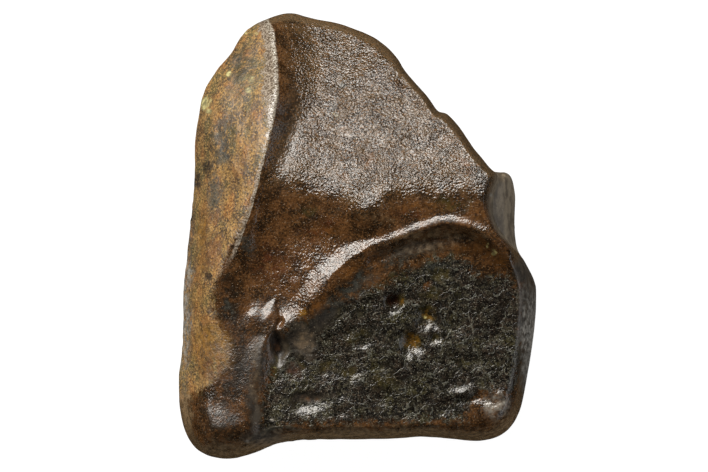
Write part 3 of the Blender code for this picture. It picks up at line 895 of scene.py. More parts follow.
@dataclass(frozen=True)
class Back:
    """The hidden lower side: a worn flat spot, and a fluted roll up to the girdle.

    Each wave of the flat spot's outline is how often it comes round, its height and its turn.
    """

    flat_share: float = 0.40
    ragged: float = 0.05
    waves: Points = ((2.0, 1.0, 0.7), (3.0, 0.6, 2.1), (5.0, 0.4, 0.0))
    fullness: Pair = (2.6, 1.7)
    span: Pair = (-8.0, 8.0)
    hollows: tuple[Hollow, ...] = Hollow.rows(
        (4.6, -8.0, 2.6, 1.9, 1.5), (-6.4, -3.5, 0.9, 3.8, 0.7), (5.6, 0.6, 0.9, 3.2, 0.6),
        (-2.2, 7.6, 0.7, 2.6, 0.5),
    )

    def height(
        self, plan: np.ndarray, share: np.ndarray, bearing: np.ndarray, foot: np.ndarray
    ) -> np.ndarray:
        """The lower side's height.

        Args:
            plan: One row of x and y for each point.
            share: The share of the radius that each point is out.
            bearing: Each point's angle around the centre, in radians.
            foot: The girdle's height.

        Returns:
            The height at each point, which is 0 on the flat spot.
        """
        wander = sum(high * np.sin(count * bearing + turn) for count, high, turn in self.waves)
        flat = self.flat_share + self.ragged * wander
        past = np.clip((share - flat) / (1.0 - flat), 0.0, 1.0)
        fullness = mix(*self.fullness, smooth_step(*self.span, plan[:, 1]))
        rise = foot * (1.0 - np.sqrt(np.maximum(1.0 - past**fullness, 0.0)))
        return rise + sum(h.at(plan) for h in self.hollows) * np.sin(np.pi * past) ** 2


@dataclass
class Tooth:
    """The whole tooth: its faces in one closed mesh, and what each vertex knows of its place.

    The grid is how many quads an edge of the cube has that the mesh is pressed from. Of the small
    reliefs, broad and fine are all over it, crumbs in the root's dark field, slope on the worn
    flank and hidden on the back.
    """

    grid: int = 128
    girdle_latitude: float = -0.70
    crest_fade: Pair = (-3.0, 3.0)
    crest_round: Pair = (1.5, 0.14)
    crest_pull: float = 0.4
    pulls: tuple[Relief, ...] = (Relief(0.16, 0.80, 1, 30.0), Relief(0.07, 0.34, 1, 50.0))
    pull_seeds: tuple[int, int] = (11, 12)
    relief_seed: int = 7
    broad: Relief = Relief(0.05, 2.6, 2, 60.0)
    fine: Relief = Relief(0.035, 1.5, 3, 30.0)
    crumbs: Relief = Relief(0.012, 0.45, 3, 20.0)
    calm_crumbs: float = 0.25
    slope: Relief = Relief(0.045, 0.8, 3, 40.0, (1.0, 0.5, 1.0))
    hidden: Relief = Relief(0.05, 1.0, 3, 80.0, (1.0, 0.5, 1.0))
    under_fade: Pair = (0.0, 0.15)
    field_fade: Pair = (-0.1, 0.5)
    flank_fade: Pair = (0.0, 0.4)
    floor_fade: Pair = (0.02, 0.8)
    girdle: Girdle = Girdle()
    flank: WornFlank = WornFlank()
    enamel: EnamelFace = EnamelFace()
    root: RootFace = RootFace()
    back: Back = Back()
    places: dict[Enum, np.ndarray] = field(default_factory=dict)

    def build(self) -> bpy.types.Object:
        """Makes the tooth's mesh and its object, in metres.

        Returns:
            The object, with no material yet.
        """
        mesh, directions = self._ball()
        points = self._surface(directions)
        for vertex, point in zip(mesh.verts, points):
            vertex.co = point
        bmesh.ops.recalc_face_normals(mesh, faces=mesh.faces[:])
        data = bpy.data.meshes.new("tooth_surface")
        mesh.to_mesh(data)
        mesh.free()
        normals = np.empty(len(points) * 3, np.float32)
        data.vertex_normals.foreach_get("vector", normals)
        points = self._roughened(points, normals.reshape(-1, 3))
        data.vertices.foreach_set("co", (points * MM).astype(np.float32).ravel())
        for place, values in self.places.items():
            made = data.attributes.new(place.value, "FLOAT", "POINT")
            made.data.foreach_set("value", values.astype(np.float32))
        data.shade_smooth()
        data.update()
        tooth = bpy.data.objects.new("tooth_surface", data)
        bpy.context.scene.collection.objects.link(tooth)
        return tooth

    def _ball(self) -> tuple[bmesh.types.BMesh, np.ndarray]:
        """A cube of even quads pressed into a ball: the mesh and its unit directions.

        Returns:
            The cube's mesh, and for each vertex its direction in the ball.
        """
        mesh = bmesh.new()
        bmesh.ops.create_cube(mesh, size=2.0)
        cuts = self.grid - 1
        bmesh.ops.subdivide_edges(mesh, edges=mesh.edges[:], cuts=cuts, use_grid_fill=True)
        cube = np.array([vertex.co for vertex in mesh.verts])
        spread = np.tan(cube * np.pi / 4)
        return mesh, spread / np.linalg.norm(spread, axis=1)[:, None]

    def _surface(self, directions: np.ndarray) -> np.ndarray:
        """Where each direction of the ball meets the tooth.

        Args:
            directions: One row of x, y and z of length 1 for each vertex.

        Returns:
            One row of x, y and z in millimetres for each vertex.
        """
        bearing = np.arctan2(directions[:, 1], directions[:, 0])
        latitude = np.arcsin(np.clip(directions[:, 2], -1.0, 1.0))
        quarter = np.pi / 2
        above = (latitude - self.girdle_latitude) / (quarter - self.girdle_latitude)
        below = (self.girdle_latitude - latitude) / (quarter + self.girdle_latitude)
        share = np.cos(quarter * np.maximum(above, below))
        radius, foot, edge_radius = self.girdle.at(bearing)
        plan = self.girdle.plan(bearing, share, radius)
        edge_gap = np.abs(self.girdle.line.nearest(plan)[0])
        roll = np.clip(1.0 - edge_gap / edge_radius, 0.0, 1.0)
        front = mix(foot, self._front(plan, edge_gap, foot), np.sqrt(1.0 - roll**2))
        back = self.back.height(plan, share, bearing, foot)
        self.places[Region.EDGE] = edge_gap
        self.places[Region.UNDER] = np.clip(below, 0.0, 1.0)
        return np.column_stack([plan, np.where(above >= 0, front, back)])

    def _front(self, plan: np.ndarray, edge_gap: np.ndarray, foot: np.ndarray) -> np.ndarray:
        """The upper side, before it rolls over to the girdle.

        Args:
            plan: One row of x and y for each point.
            edge_gap: Gap from the girdle.
            foot: The girdle's height.

        Returns:
            The height at each point.
        """
        bent = self._bent(plan)
        crest_gap, crest = self.flank.carina.nearest(mix(plan, bent, self.crest_pull))
        crest_gap, crest = -crest_gap, crest[:, 0]
        flank = self.flank.height(crest_gap, crest, edge_gap, foot)
        enamel = self.enamel.height(plan, crest_gap, crest)
        melt = mix(*self.crest_round, smooth_step(*self.crest_fade, plan[:, 1]))
        front = self.root.set_in(soft_min(flank, enamel, melt), plan)
        dents = (*self.root.pits, *self.root.sill, *self.flank.hollows, *self.enamel.hollows)
        pits = sum(h.at(bent) for h in dents)
        grooves = sum(g.at(bent) for g in (*self.root.ridges, *self.root.cracks))
        grooves += self.root.furrow.at(bent) + self.root.fissure.at(bent)
        broad = sum(h.at(plan) for h in self.root.broad)
        field_gap = self.root.field.nearest(bent)[0]
        pits = pits + self.root.pitting.at(bent) * smooth_step(*self.root.pitting_fade, field_gap)
        front, stepped = self.root.stepped(front - broad - pits - grooves, plan)
        self.places[Region.CUT] = self.flank.cut_share(crest_gap, plan)
        self.places[Region.FLANK] = self.flank.dentine.nearest(plan)[0]
        self.places[Region.PLANE] = self.enamel.plane_gap(plan, crest_gap)
        self.places[Region.FIELD] = field_gap
        self.places[Region.STEP] = stepped
        gaps = [np.abs(SmoothLine(c.points).nearest(bent)[0]) for c in self.root.cracks]
        self.places[Region.CRACK] = np.min(gaps, axis=0)
        self._place_stains_and_painted_light(bent)
        return front

    def _place_stains_and_painted_light(self, bent: np.ndarray) -> None:
        """Works out each tint, by the strongest of its stains at each point.

        Args:
            bent: One row of x and y for each point.
        """
        stains = (*self.flank.stains, *self.enamel.stains, *self.root.stains)
        for tint in Tint:
            strengths = [stain.at(bent) for stain in stains if stain.tint is tint]
            self.places[tint] = np.max(strengths, axis=0)

    def _bent(self, plan: np.ndarray) -> np.ndarray:
        """The plan points pulled a little to and fro, so that no dent or stain comes out round.

        Args:
            plan: One row of x and y for each point.

        Returns:
            The same rows, moved.
        """
        flat = np.column_stack([plan, np.zeros(len(plan))])
        lumps = [Lumps(seed) for seed in self.pull_seeds]
        pulled = [sum(pull.at(one, flat) for pull in self.pulls) for one in lumps]
        return plan + np.column_stack(pulled)

    def _roughened(self, points: np.ndarray, normals: np.ndarray) -> np.ndarray:
        """The surface pushed along its normals by each region's own small relief.

        Args:
            points: One row of x, y and z for each vertex.
            normals: The surface's normal at each vertex.

        Returns:
            The moved rows, none of them beyond the bounds of the given ones.
        """
        lumps = Lumps(self.relief_seed)
        under = smooth_step(*self.under_fade, self.places[Region.UNDER])
        upper = 1.0 - under
        calm = 1.0 - np.clip(self.places[Tint.SMOOTH], 0.0, 1.0)
        in_field = smooth_step(*self.field_fade, self.places[Region.FIELD]) * upper
        in_flank = smooth_step(*self.flank_fade, self.places[Region.FLANK]) * upper
        crumbs = self.crumbs.at(lumps, points) * mix(self.calm_crumbs, 1.0, calm)
        amount = self.broad.at(lumps, points) + in_field * crumbs
        amount = amount + in_flank * self.slope.at(lumps, points)
        amount = amount + under * self.hidden.at(lumps, points)
        amount += self.fine.at(lumps, points) * upper * (1.0 - in_field) * calm
        amount *= smooth_step(*self.floor_fade, points[:, 2])
        moved = points + normals * amount[:, None]
        return np.clip(moved, points.min(0), points.max(0))


class Term:
    """A node's output that Python sums can use; each sum adds its Math node."""

    def __init__(self, graph: "Graph", socket: bpy.types.NodeSocket) -> None:
        """Wraps an output of one of a graph's nodes."""
        self.graph = graph
        self.socket = socket

    def _math(self, operation: str, first: Number, second: Number) -> "Term":
        """The Math node for one operation on two numbers."""
        return self.graph.term("ShaderNodeMath", {"operation": operation}, {0: first, 1: second})

    def __add__(self, other: Number) -> "Term":
        """self + other."""
        return self._math("ADD", self, other)

    def __radd__(self, other: Number) -> "Term":
        """other + self."""
        return self._math("ADD", other, self)

    def __sub__(self, other: Number) -> "Term":
        """self - other."""
        return self._math("SUBTRACT", self, other)

    def __rsub__(self, other: Number) -> "Term":
        """other - self."""
        return self._math("SUBTRACT", other, self)

    def __mul__(self, other: Number) -> "Term":
        """self * other."""
        return self._math("MULTIPLY", self, other)

    def __rmul__(self, other: Number) -> "Term":
        """other * self."""
        return self._math("MULTIPLY", other, self)

    def step(self, low: float, high: float) -> "Term":
        """0 up to low, 1 from high on, and an even S between; low may be above high."""
        inputs = {"Value": self, "From Min": low, "From Max": high}
        return self.graph.term("ShaderNodeMapRange", {"interpolation_type": "SMOOTHSTEP"}, inputs)


class Graph:
    """A material's node tree, and short ways to add to it."""

    def __init__(self, name: str) -> None:
        """Makes a material that has only its shader.

        Args:
            name: The material's name.
        """
        self.material = bpy.data.materials.new(name)
        self.material.use_nodes = True
        self.tree = self.material.node_tree

    def node(self, kind: str, settings: dict[str, str], inputs: Inputs) -> bpy.types.Node:
        """Adds a node.

        Args:
            kind: The node's type.
            settings: Its own settings, which are set first.
            inputs: A value or a Term for each of its sockets that isn't left as it comes.

        Returns:
            The node.
        """
        made = self.tree.nodes.new(kind)
        for name, setting in settings.items():
            setattr(made, name, setting)
        self.feed(made, inputs)
        return made

    def feed(self, node: bpy.types.Node, inputs: Inputs) -> None:
        """Links each Term to its socket, and sets the other sockets to their plain values.

        Args:
            node: The node that has the sockets.
            inputs: A value or a Term for each socket, by its name or number.
        """
        for name, value in inputs.items():
            socket = node.inputs[name]
            if isinstance(value, Term):
                self.tree.links.new(value.socket, socket)
            elif isinstance(value, tuple) and socket.type == "RGBA":
                socket.default_value = (*value, 1.0)
            else:
                socket.default_value = value

    def finished(self, inputs: Inputs) -> bpy.types.Material:
        """Feeds the shader's own sockets and gives the material."""
        self.feed(self.tree.nodes["Principled BSDF"], inputs)
        return self.material

    def term(
        self, kind: str, settings: dict[str, str], inputs: Inputs, output: int | str = 0
    ) -> Term:
        """Adds a node and gives one of its outputs."""
        return Term(self, self.node(kind, settings, inputs).outputs[output])

    def vector(self, operation: str, inputs: Inputs) -> Term:
        """Adds a Vector Math node."""
        return self.term("ShaderNodeVectorMath", {"operation": operation}, inputs)

    def place(self) -> Term:
        """The place on the object, in millimetres."""
        spot = self.term("ShaderNodeTexCoord", {}, {}, output="Object")
        return self.vector("SCALE", {0: spot, "Scale": 1.0 / MM})

    def known(self, place: Enum) -> Term:
        """What each vertex knows of its place or of a tint."""
        return self.term("ShaderNodeAttribute", {"attribute_name": place.value}, {}, output="Fac")

    def bent(self, place: Term, size: float, by: float) -> Term:
        """A place pulled to and fro by a noise, where straight lines come out crooked.

        Args:
            place: The place in millimetres.
            size: The noise's size in millimetres.
            by: How far it pulls, in millimetres.

        Returns:
            The pulled place.
        """
        noise = {"Vector": place, "Scale": 1.0 / size}
        pull = self.term("ShaderNodeTexNoise", {}, noise, output="Color")
        return self.vector("ADD", {0: place, 1: self.vector("SCALE", {0: pull, "Scale": by})})

    def cells(self, place: Term, size: float) -> Term:
        """Distance to the nearest wall between cells of about size millimetres, in cells."""
        inputs = {"Vector": place, "Scale": 1.0 / size}
        return self.term("ShaderNodeTexVoronoi", {"feature": "DISTANCE_TO_EDGE"}, inputs)

    def _mixed(self, kind: str, inputs: Inputs) -> Term:
        """Adds a Mix node; its sockets are numbered, because its kinds share their names."""
        node = self.node("ShaderNodeMix", {"data_type": kind}, inputs)
        return Term(self, next(output for output in node.outputs if output.enabled))

    def blend(self, first: Colour | Term, second: Colour | Term, share: Term) -> Term:
        """A colour between two colours."""
        return self._mixed("RGBA", {0: share, 6: first, 7: second})

    def between(self, first: Number, second: Number, share: Term) -> Term:
        """A number between two numbers."""
        return self._mixed("FLOAT", {0: share, 2: first, 3: second})


@dataclass(frozen=True)
class Ramp:
    """A rise from 0 at low to its strength at high; low may be above high."""

    low: float
    high: float
    strength: float = 1.0

    def of(self, value: Term) -> Term:
        """How far the rise has come at a value."""
        risen = value.step(self.low, self.high)
        return risen if self.strength == 1.0 else risen * self.strength


@dataclass(frozen=True)
class Border:
    """A ragged border, where one surface gives way to another."""

    wander: float
    ramp: Ramp

    def past(self, gap: Term, ragged: Term) -> Term:
        """0 before the border and 1 past it, by a gap and a noise around 0."""
        return self.ramp.of(gap + ragged * self.wander)


@dataclass(frozen=True)
class Cloud:
    """A cloudy noise around 0.5, whose blots are about twice size millimetres apart."""

    size: float
    detail: float = 2.0
    shift: float = 0.0
    stretch: Triple = (1.0, 1.0, 1.0)

    def at(self, graph: Graph, place: Term) -> Term:
        """The noise at each place; a shift makes it another noise.

        Args:
            graph: The material's node tree.
            place: The place in millimetres.

        Returns:
            The noise, between 0 and 1.
        """
        if self.shift:
            place = graph.vector("ADD", {0: place, 1: (self.shift,) * 3})
        scaled = graph.vector("MULTIPLY", {0: place, 1: self.stretch})
        inputs = {"Vector": scaled, "Scale": 1.0 / self.size, "Detail": self.detail}
        return graph.term("ShaderNodeTexNoise", {}, inputs)


@dataclass
class Skin:
    """The colour, roughness and fine relief in millimetres of one kind of surface."""

    colour: Term
    roughness: Number
    relief: Term

    def over(self, graph: Graph, below: "Skin", share: Term) -> "Skin":
        """This skin where share is 1, on another where it is 0.

        Args:
            graph: The material's node tree.
            below: The other skin.
            share: Where this one shows.

        Returns:
            The two together.
        """
        return Skin(
            graph.blend(below.colour, self.colour, share),
            graph.between(below.roughness, self.roughness, share),
            graph.between(below.relief, self.relief, share),
        )


@dataclass(frozen=True)
class Grain:
    """The fine grain of a surface in millimetres, with a coarser one under it."""

    size: float
    height: float
    coarser: float = 3.0
    coarser_height: float = 0.8

    def relief(self, graph: Graph, place: Term) -> Term:
        """The grain's height at each place.

        Args:
            graph: The material's node tree.
            place: The place in millimetres.

        Returns:
            The height in millimetres.
        """
        fine = Cloud(self.size, 1.0).at(graph, place) * self.height
        coarse = Cloud(self.size * self.coarser, 1.0).at(graph, place)
        return fine + coarse * (self.height * self.coarser_height)


@dataclass(frozen=True)
class EnamelFinish:
    """Dark brown enamel, redder where it is polished, paler along the carina's cut edge.

    The patch grain is how much grain there is at least, and how much more in its patches.
    """

    dark: Colour = (0.026, 0.015, 0.006)
    light: Colour = (0.068, 0.040, 0.017)
    mottle: Cloud = Cloud(0.8, 4.0)
    light_where: Ramp = Ramp(0.35, 0.70)
    polished_dark: Colour = (0.023, 0.011, 0.004)
    polished_light: Colour = (0.084, 0.036, 0.011)
    polished_light_where: Ramp = Ramp(0.38, 0.66)
    polish: Border = Border(1.6, Ramp(0.45, -1.10))
    # Near the girdle the colour turns a lighter brown: part the walls' own colour, part painted
    # light for walls that face away from the lamps.
    edge: Colour = (0.100, 0.066, 0.034)
    edge_where: Ramp = Ramp(0.60, 0.30, 0.85)
    speck: Cloud = Cloud(0.11)
    pale_speck: Colour = (0.150, 0.072, 0.024)
    pale_speck_where: Ramp = Ramp(0.53, 0.66, 0.60)
    dark_speck: Colour = (0.006, 0.004, 0.002)
    dark_speck_where: Ramp = Ramp(0.46, 0.34, 0.65)
    # The cut band's pale grey: part the cut enamel's own colour, part painted light on the bevel
    # that faces the lamp.
    cut_dark: Colour = (0.085, 0.062, 0.042)
    cut_light: Colour = (0.290, 0.242, 0.188)
    cut_light_where: Ramp = Ramp(0.40, 0.62)
    cut_start: Border = Border(0.8, Ramp(-1.30, -0.90))
    cut_end: Ramp = Ramp(0.16, 0.0)
    cut_above: Ramp = Ramp(-4.4, -5.2)
    # Painted highlight: a broken pale line along the carina's crest, where the worn facet catches
    # the light.
    crest: Colour = (0.300, 0.280, 0.230)
    crest_highlight_start: Ramp = Ramp(-0.30, -0.12)
    crest_highlight_end: Ramp = Ramp(0.12, 0.02)
    crest_highlight_where: Ramp = Ramp(0.44, 0.56)
    crest_highlight_strength: float = 0.6
    roughness: float = 0.22
    sheen_roughness: float = 0.32
    grain: Grain = Grain(0.115, 0.083)
    polished_grain: float = 0.42
    sheen_grain_loss: float = 0.5
    patches: Cloud = Cloud(1.1, shift=7.0)
    patch_grain: Pair = (0.35, 1.3)

    def skin(self, graph: Graph, place: Term, gap: dict[Region, Term], sheen: Term) -> Skin:
        """The enamel's skin, with less grain where it is polished or shows a sheen.

        Args:
            graph: The material's node tree.
            place: The place in millimetres.
            gap: What each vertex knows of its place.
            sheen: 1 where the enamel has the softer sheen.

        Returns:
            The skin.
        """
        mottle = self.mottle.at(graph, place)
        ragged = mottle - NOISE_MIDDLE
        polish = self.polish.past(gap[Region.PLANE], ragged)
        speck = self.speck.at(graph, place)
        colour = graph.blend(self.dark, self.light, self.light_where.of(mottle))
        polished_where = self.polished_light_where.of(mottle)
        smooth = graph.blend(self.polished_dark, self.polished_light, polished_where)
        colour = graph.blend(colour, smooth, polish)
        # Lighter brown near the girdle, partly painted light on the walls.
        colour = graph.blend(colour, self.edge, self.edge_where.of(gap[Region.EDGE]))
        colour = graph.blend(colour, self.pale_speck, self.pale_speck_where.of(speck))
        colour = graph.blend(colour, self.dark_speck, self.dark_speck_where.of(speck))
        cut = graph.blend(self.cut_dark, self.cut_light, self.cut_light_where.of(speck))
        above = self.cut_above.of(gap[Region.FIELD])
        band = self.cut_start.past(gap[Region.CUT], ragged) * self.cut_end.of(gap[Region.CUT])
        # Cut band: its own pale colour, partly painted light.
        colour = graph.blend(colour, cut, band * above)
        # Painted highlight along the crest.
        crest = self.crest_highlight_start.of(gap[Region.CUT]) * self.crest_highlight_end.of(gap[Region.CUT]) * above
        crest = crest * self.crest_highlight_where.of(speck) * self.crest_highlight_strength
        colour = graph.blend(colour, self.crest, crest)
        least, more = self.patch_grain
        patchy = least + self.patches.at(graph, place) * more
        height = graph.between(1.0, self.polished_grain, polish) * patchy
        height = height * (1.0 - sheen * self.sheen_grain_loss)
        roughness = graph.between(self.roughness, self.sheen_roughness, sheen)
        return Skin(colour, roughness, self.grain.relief(graph, place) * height)


@dataclass(frozen=True)
class DentineFinish:
    """Orange-brown worn dentine with olive patches and golden and dark grains."""

    dark: Colour = (0.078, 0.042, 0.013)
    light: Colour = (0.205, 0.113, 0.028)
    mottle: Cloud = Cloud(0.55, 5.0, stretch=(1.0, 0.7, 1.0))
    light_where: Ramp = Ramp(0.38, 0.60)
    tinge: Cloud = Cloud(0.9, 3.0, shift=3.0, stretch=(1.0, 0.7, 1.0))
    olive: Colour = (0.095, 0.072, 0.020)
    olive_where: Ramp = Ramp(0.52, 0.64, 0.8)
    orange: Colour = (0.235, 0.095, 0.016)
    orange_where: Ramp = Ramp(0.47, 0.37, 0.75)
    speck: Cloud = Cloud(0.11, 3.0)
    dark_speck: Colour = (0.020, 0.011, 0.004)
    dark_speck_where: Ramp = Ramp(0.53, 0.66, 0.85)
    pale_speck: Colour = (0.380, 0.220, 0.058)
    pale_speck_where: Ramp = Ramp(0.47, 0.36, 0.75)
    roughness: float = 0.55
    grain: Grain = Grain(0.11, 0.034)

    def skin(self, graph: Graph, place: Term) -> Skin:
        """The dentine's skin.

        Args:
            graph: The material's node tree.
            place: The place in millimetres.

        Returns:
            The skin.
        """
        mottle = self.mottle.at(graph, place)
        tinge = self.tinge.at(graph, place)
        speck = self.speck.at(graph, place)
        colour = graph.blend(self.dark, self.light, self.light_where.of(mottle))
        colour = graph.blend(colour, self.olive, self.olive_where.of(tinge))
        colour = graph.blend(colour, self.orange, self.orange_where.of(tinge))
        colour = graph.blend(colour, self.dark_speck, self.dark_speck_where.of(speck))
        colour = graph.blend(colour, self.pale_speck, self.pale_speck_where.of(speck))
        return Skin(colour, self.roughness, self.grain.relief(graph, place))


@dataclass(frozen=True)
class RootFinish:
    """The near-black resorbed field, with pale specks, ridges and cracks.

    A share is how much shows in the murk, and how much more where it is clear.
    """

    dark: Colour = (0.004, 0.003, 0.002)
    light: Colour = (0.031, 0.027, 0.016)
    mottle: Cloud = Cloud(0.18, 4.0)
    light_where: Ramp = Ramp(0.40, 0.60)
    tone: Cloud = Cloud(1.2, 3.0, shift=5.0)
    brown: Colour = (0.028, 0.018, 0.012)
    brown_where: Ramp = Ramp(0.50, 0.40, 0.8)
    olive: Colour = (0.034, 0.029, 0.009)
    olive_where: Ramp = Ramp(0.52, 0.64, 0.8)
    murk: Cloud = Cloud(0.42, 3.0, shift=25.0)
    clear_where: Ramp = Ramp(0.42, 0.56)
    light_share: Pair = (0.30, 0.90)
    speckle: Cloud = Cloud(0.075)
    speck: Colour = (0.200, 0.196, 0.155)
    speck_where: Ramp = Ramp(0.58, 0.70)
    speck_share: Pair = (0.30, 0.60)
    vein: Colour = (0.120, 0.122, 0.095)
    vein_bend: Pair = (0.35, 0.5)
    vein_spacing: float = 0.95
    vein_where: Ramp = Ramp(0.035, 0.010)
    broken: Cloud = Cloud(0.45, shift=9.0)
    whole_where: Ramp = Ramp(0.48, 0.60)
    vein_strength: float = 0.6
    crack: Colour = (0.140, 0.132, 0.105)
    crack_where: Ramp = Ramp(0.06, 0.01)
    crack_whole_where: Ramp = Ramp(0.36, 0.50)
    crack_strength: float = 0.55
    roughness: float = 0.27
    grain: Grain = Grain(0.11, 0.030)
    mottle_height: float = 0.018
    vein_height: float = 0.008

    def skin(self, graph: Graph, place: Term, gap: dict[Region, Term]) -> Skin:
        """The field's skin.

        Args:
            graph: The material's node tree.
            place: The place in millimetres.
            gap: What each vertex knows of its place.

        Returns:
            The skin.
        """
        mottle = self.mottle.at(graph, place)
        speckle = self.speckle.at(graph, place)
        tone = self.tone.at(graph, place)
        clear = self.clear_where.of(self.murk.at(graph, place))
        light = graph.blend(self.light, self.brown, self.brown_where.of(tone))
        light = graph.blend(light, self.olive, self.olive_where.of(tone))
        least, more = self.light_share
        share = self.light_where.of(mottle) * (least + clear * more)
        colour = graph.blend(self.dark, light, share)
        least, more = self.speck_share
        share = self.speck_where.of(speckle) * (least + clear * more)
        colour = graph.blend(colour, self.speck, share)
        veins = graph.cells(graph.bent(place, *self.vein_bend), self.vein_spacing)
        veins = self.vein_where.of(veins)
        whole = self.whole_where.of(self.broken.at(graph, place))
        colour = graph.blend(colour, self.vein, veins * whole * self.vein_strength)
        crack = self.crack_where.of(gap[Region.CRACK]) * self.crack_whole_where.of(speckle)
        colour = graph.blend(colour, self.crack, crack * self.crack_strength)
        relief = self.grain.relief(graph, place) + mottle * self.mottle_height
        return Skin(colour, self.roughness, relief + veins * self.vein_height)


@dataclass(frozen=True)
class SatinFinish:
    """A smooth surface with faint streaks and hardly any grain."""

    dark: Colour
    light: Colour
    streaks: Triple
    light_where: Ramp = Ramp(0.38, 0.62)
    roughness: float = 0.50
    grain: Cloud = Cloud(0.12)
    height: float = 0.020

    def skin(self, graph: Graph, place: Term) -> Skin:
        """The smooth surface's skin.

        Args:
            graph: The material's node tree.
            place: The place in millimetres.

        Returns:
            The skin.
        """
        mottle = Cloud(0.42, 7.0, stretch=self.streaks).at(graph, place)
        colour = graph.blend(self.dark, self.light, self.light_where.of(mottle))
        return Skin(colour, self.roughness, self.grain.at(graph, place) * self.height)


@dataclass(frozen=True)
class FossilFinish:
    """The fossil's skins by region, and the stains, painted shade and painted light on them.

    The tints are laid in the order given, each with its colour and strength.
    """

    enamel: EnamelFinish = EnamelFinish()
    dentine: DentineFinish = DentineFinish()
    root: RootFinish = RootFinish()
    satin: SatinFinish = SatinFinish((0.018, 0.013, 0.008), (0.054, 0.041, 0.026), (1.0, 0.4, 1.0))
    # The broken lobe's grey-brown: part its own colour, part painted light standing in for the sheen
    # on the lobe, which faces away from the key lamp.
    broken: SatinFinish = SatinFinish((0.085, 0.064, 0.040), (0.180, 0.142, 0.092), (1.6, 0.7, 1.0))
    back: DentineFinish = DentineFinish(
        dark=(0.048, 0.029, 0.014),
        light=(0.098, 0.062, 0.030),
        olive=(0.058, 0.044, 0.020),
        orange=(0.105, 0.055, 0.018),
        pale_speck=(0.135, 0.088, 0.042),
    )
    ragged: Cloud = Cloud(0.30, 5.0)
    sheen_where: Ramp = Ramp(0.1, 0.8)
    flank_border: Border = Border(1.2, Ramp(-0.14, 0.16))
    field_border: Border = Border(1.8, Ramp(-0.20, 0.40))
    smooth_border: Border = Border(0.8, Ramp(0.10, 0.90))
    lobe_border: Border = Border(0.9, Ramp(0.25, 0.95))
    under_border: Border = Border(0.5, Ramp(0.02, 0.34))
    tints: tuple[tuple[Tint, Colour, float], ...] = (
        # Dark spots and painted shade.
        (Tint.DARK, (0.007, 0.005, 0.003), 0.85),
        (Tint.SLATE, (0.034, 0.036, 0.030), 0.75),
        (Tint.OLIVE, (0.034, 0.026, 0.006), 0.80),
        (Tint.GOLD, (0.150, 0.070, 0.004), 0.92),
        (Tint.RUST, (0.095, 0.038, 0.008), 0.70),
        (Tint.RED, (0.046, 0.012, 0.003), 0.75),
        # Painted sheen: grey reflection and painted glints.
        (Tint.PAINTED_SHEEN, (0.180, 0.168, 0.144), 0.90),
        (Tint.YELLOW, (0.300, 0.270, 0.110), 0.90),
        # Tan, partly painted light on walls that face away from the lamps.
        (Tint.TAN, (0.160, 0.106, 0.054), 0.60),
    )
    tint_where: Ramp = Ramp(0.10, 0.85)
    tint_ragged: float = 4.0
    tint_patches: Cloud = Cloud(1.3, shift=21.0)
    tint_patchy: float = 1.4
    tones: Pair = (0.50, 1.50)
    tone: Cloud = Cloud(0.30, 7.0, shift=17.0)
    tone_where: Ramp = Ramp(0.34, 0.66)
    # Painted glints: pale specks of colour that stand in for sparkles of light off the gloss.
    glint: Colour = (0.420, 0.340, 0.240)
    glints: Cloud = Cloud(0.06, 1.0, shift=13.0)
    glint_where: Ramp = Ramp(0.66, 0.78, 0.55)
    mineral_index: float = 1.63

    def material(self) -> bpy.types.Material:
        """Builds the tooth's material.

        Returns:
            The material.
        """
        graph = Graph("fossil_enamel")
        place = graph.place()
        gap = {region: graph.known(region) for region in Region}
        ragged = self.ragged.at(graph, place) - NOISE_MIDDLE
        sheen = self.sheen_where.of(graph.known(Tint.SHEEN))
        skin = self.enamel.skin(graph, place, gap, sheen)
        flank = self.flank_border.past(gap[Region.FLANK], ragged)
        skin = self.dentine.skin(graph, place).over(graph, skin, flank)
        dark_field = self.field_border.past(gap[Region.FIELD], ragged)
        skin = self.root.skin(graph, place, gap).over(graph, skin, dark_field)
        smooth = self.smooth_border.past(graph.known(Tint.SMOOTH), ragged)
        skin = self.satin.skin(graph, place).over(graph, skin, smooth)
        lobe = self.lobe_border.past(gap[Region.STEP], ragged)
        skin = self.broken.skin(graph, place).over(graph, skin, lobe)
        skin = self._stains_and_painted_light(graph, skin, place, ragged)
        under = self.under_border.past(gap[Region.UNDER], ragged)
        skin = self.back.skin(graph, place).over(graph, skin, under)
        relief = {"Height": skin.relief * MM, "Distance": 1.0, "Strength": 1.0}
        return graph.finished(
            {
                "IOR": self.mineral_index,
                "Base Color": skin.colour,
                "Roughness": skin.roughness,
                "Normal": graph.term("ShaderNodeBump", {}, relief),
            }
        )

    def _stains_and_painted_light(self, graph: Graph, skin: Skin, place: Term, ragged: Term) -> Skin:
        """A skin with all the stains, painted shade and painted light on it, and painted glints on
        top.

        Args:
            graph: The material's node tree.
            skin: The skin below the stains.
            place: The place in millimetres.
            ragged: A noise around 0 that makes the stains' edges ragged.

        Returns:
            The skin with the stains, painted shade, painted light and painted glints in its colour.
        """
        colour = skin.colour
        tone = self.tone_where.of(self.tone.at(graph, place))
        patchy = (self.tint_patches.at(graph, place) - NOISE_MIDDLE) * self.tint_patchy
        uneven = ragged * self.tint_ragged + patchy
        for tint, stain, strength in self.tints:
            known = graph.known(tint)
            share = self.tint_where.of(known + known * uneven) * strength
            deep, light = (tuple(part * tone for part in stain) for tone in self.tones)
            colour = graph.blend(colour, graph.blend(deep, light, tone), share)
        # Painted glints over everything.
        colour = graph.blend(colour, self.glint, self.glint_where.of(self.glints.at(graph, place)))
        return Skin(colour, skin.roughness, skin.relief)


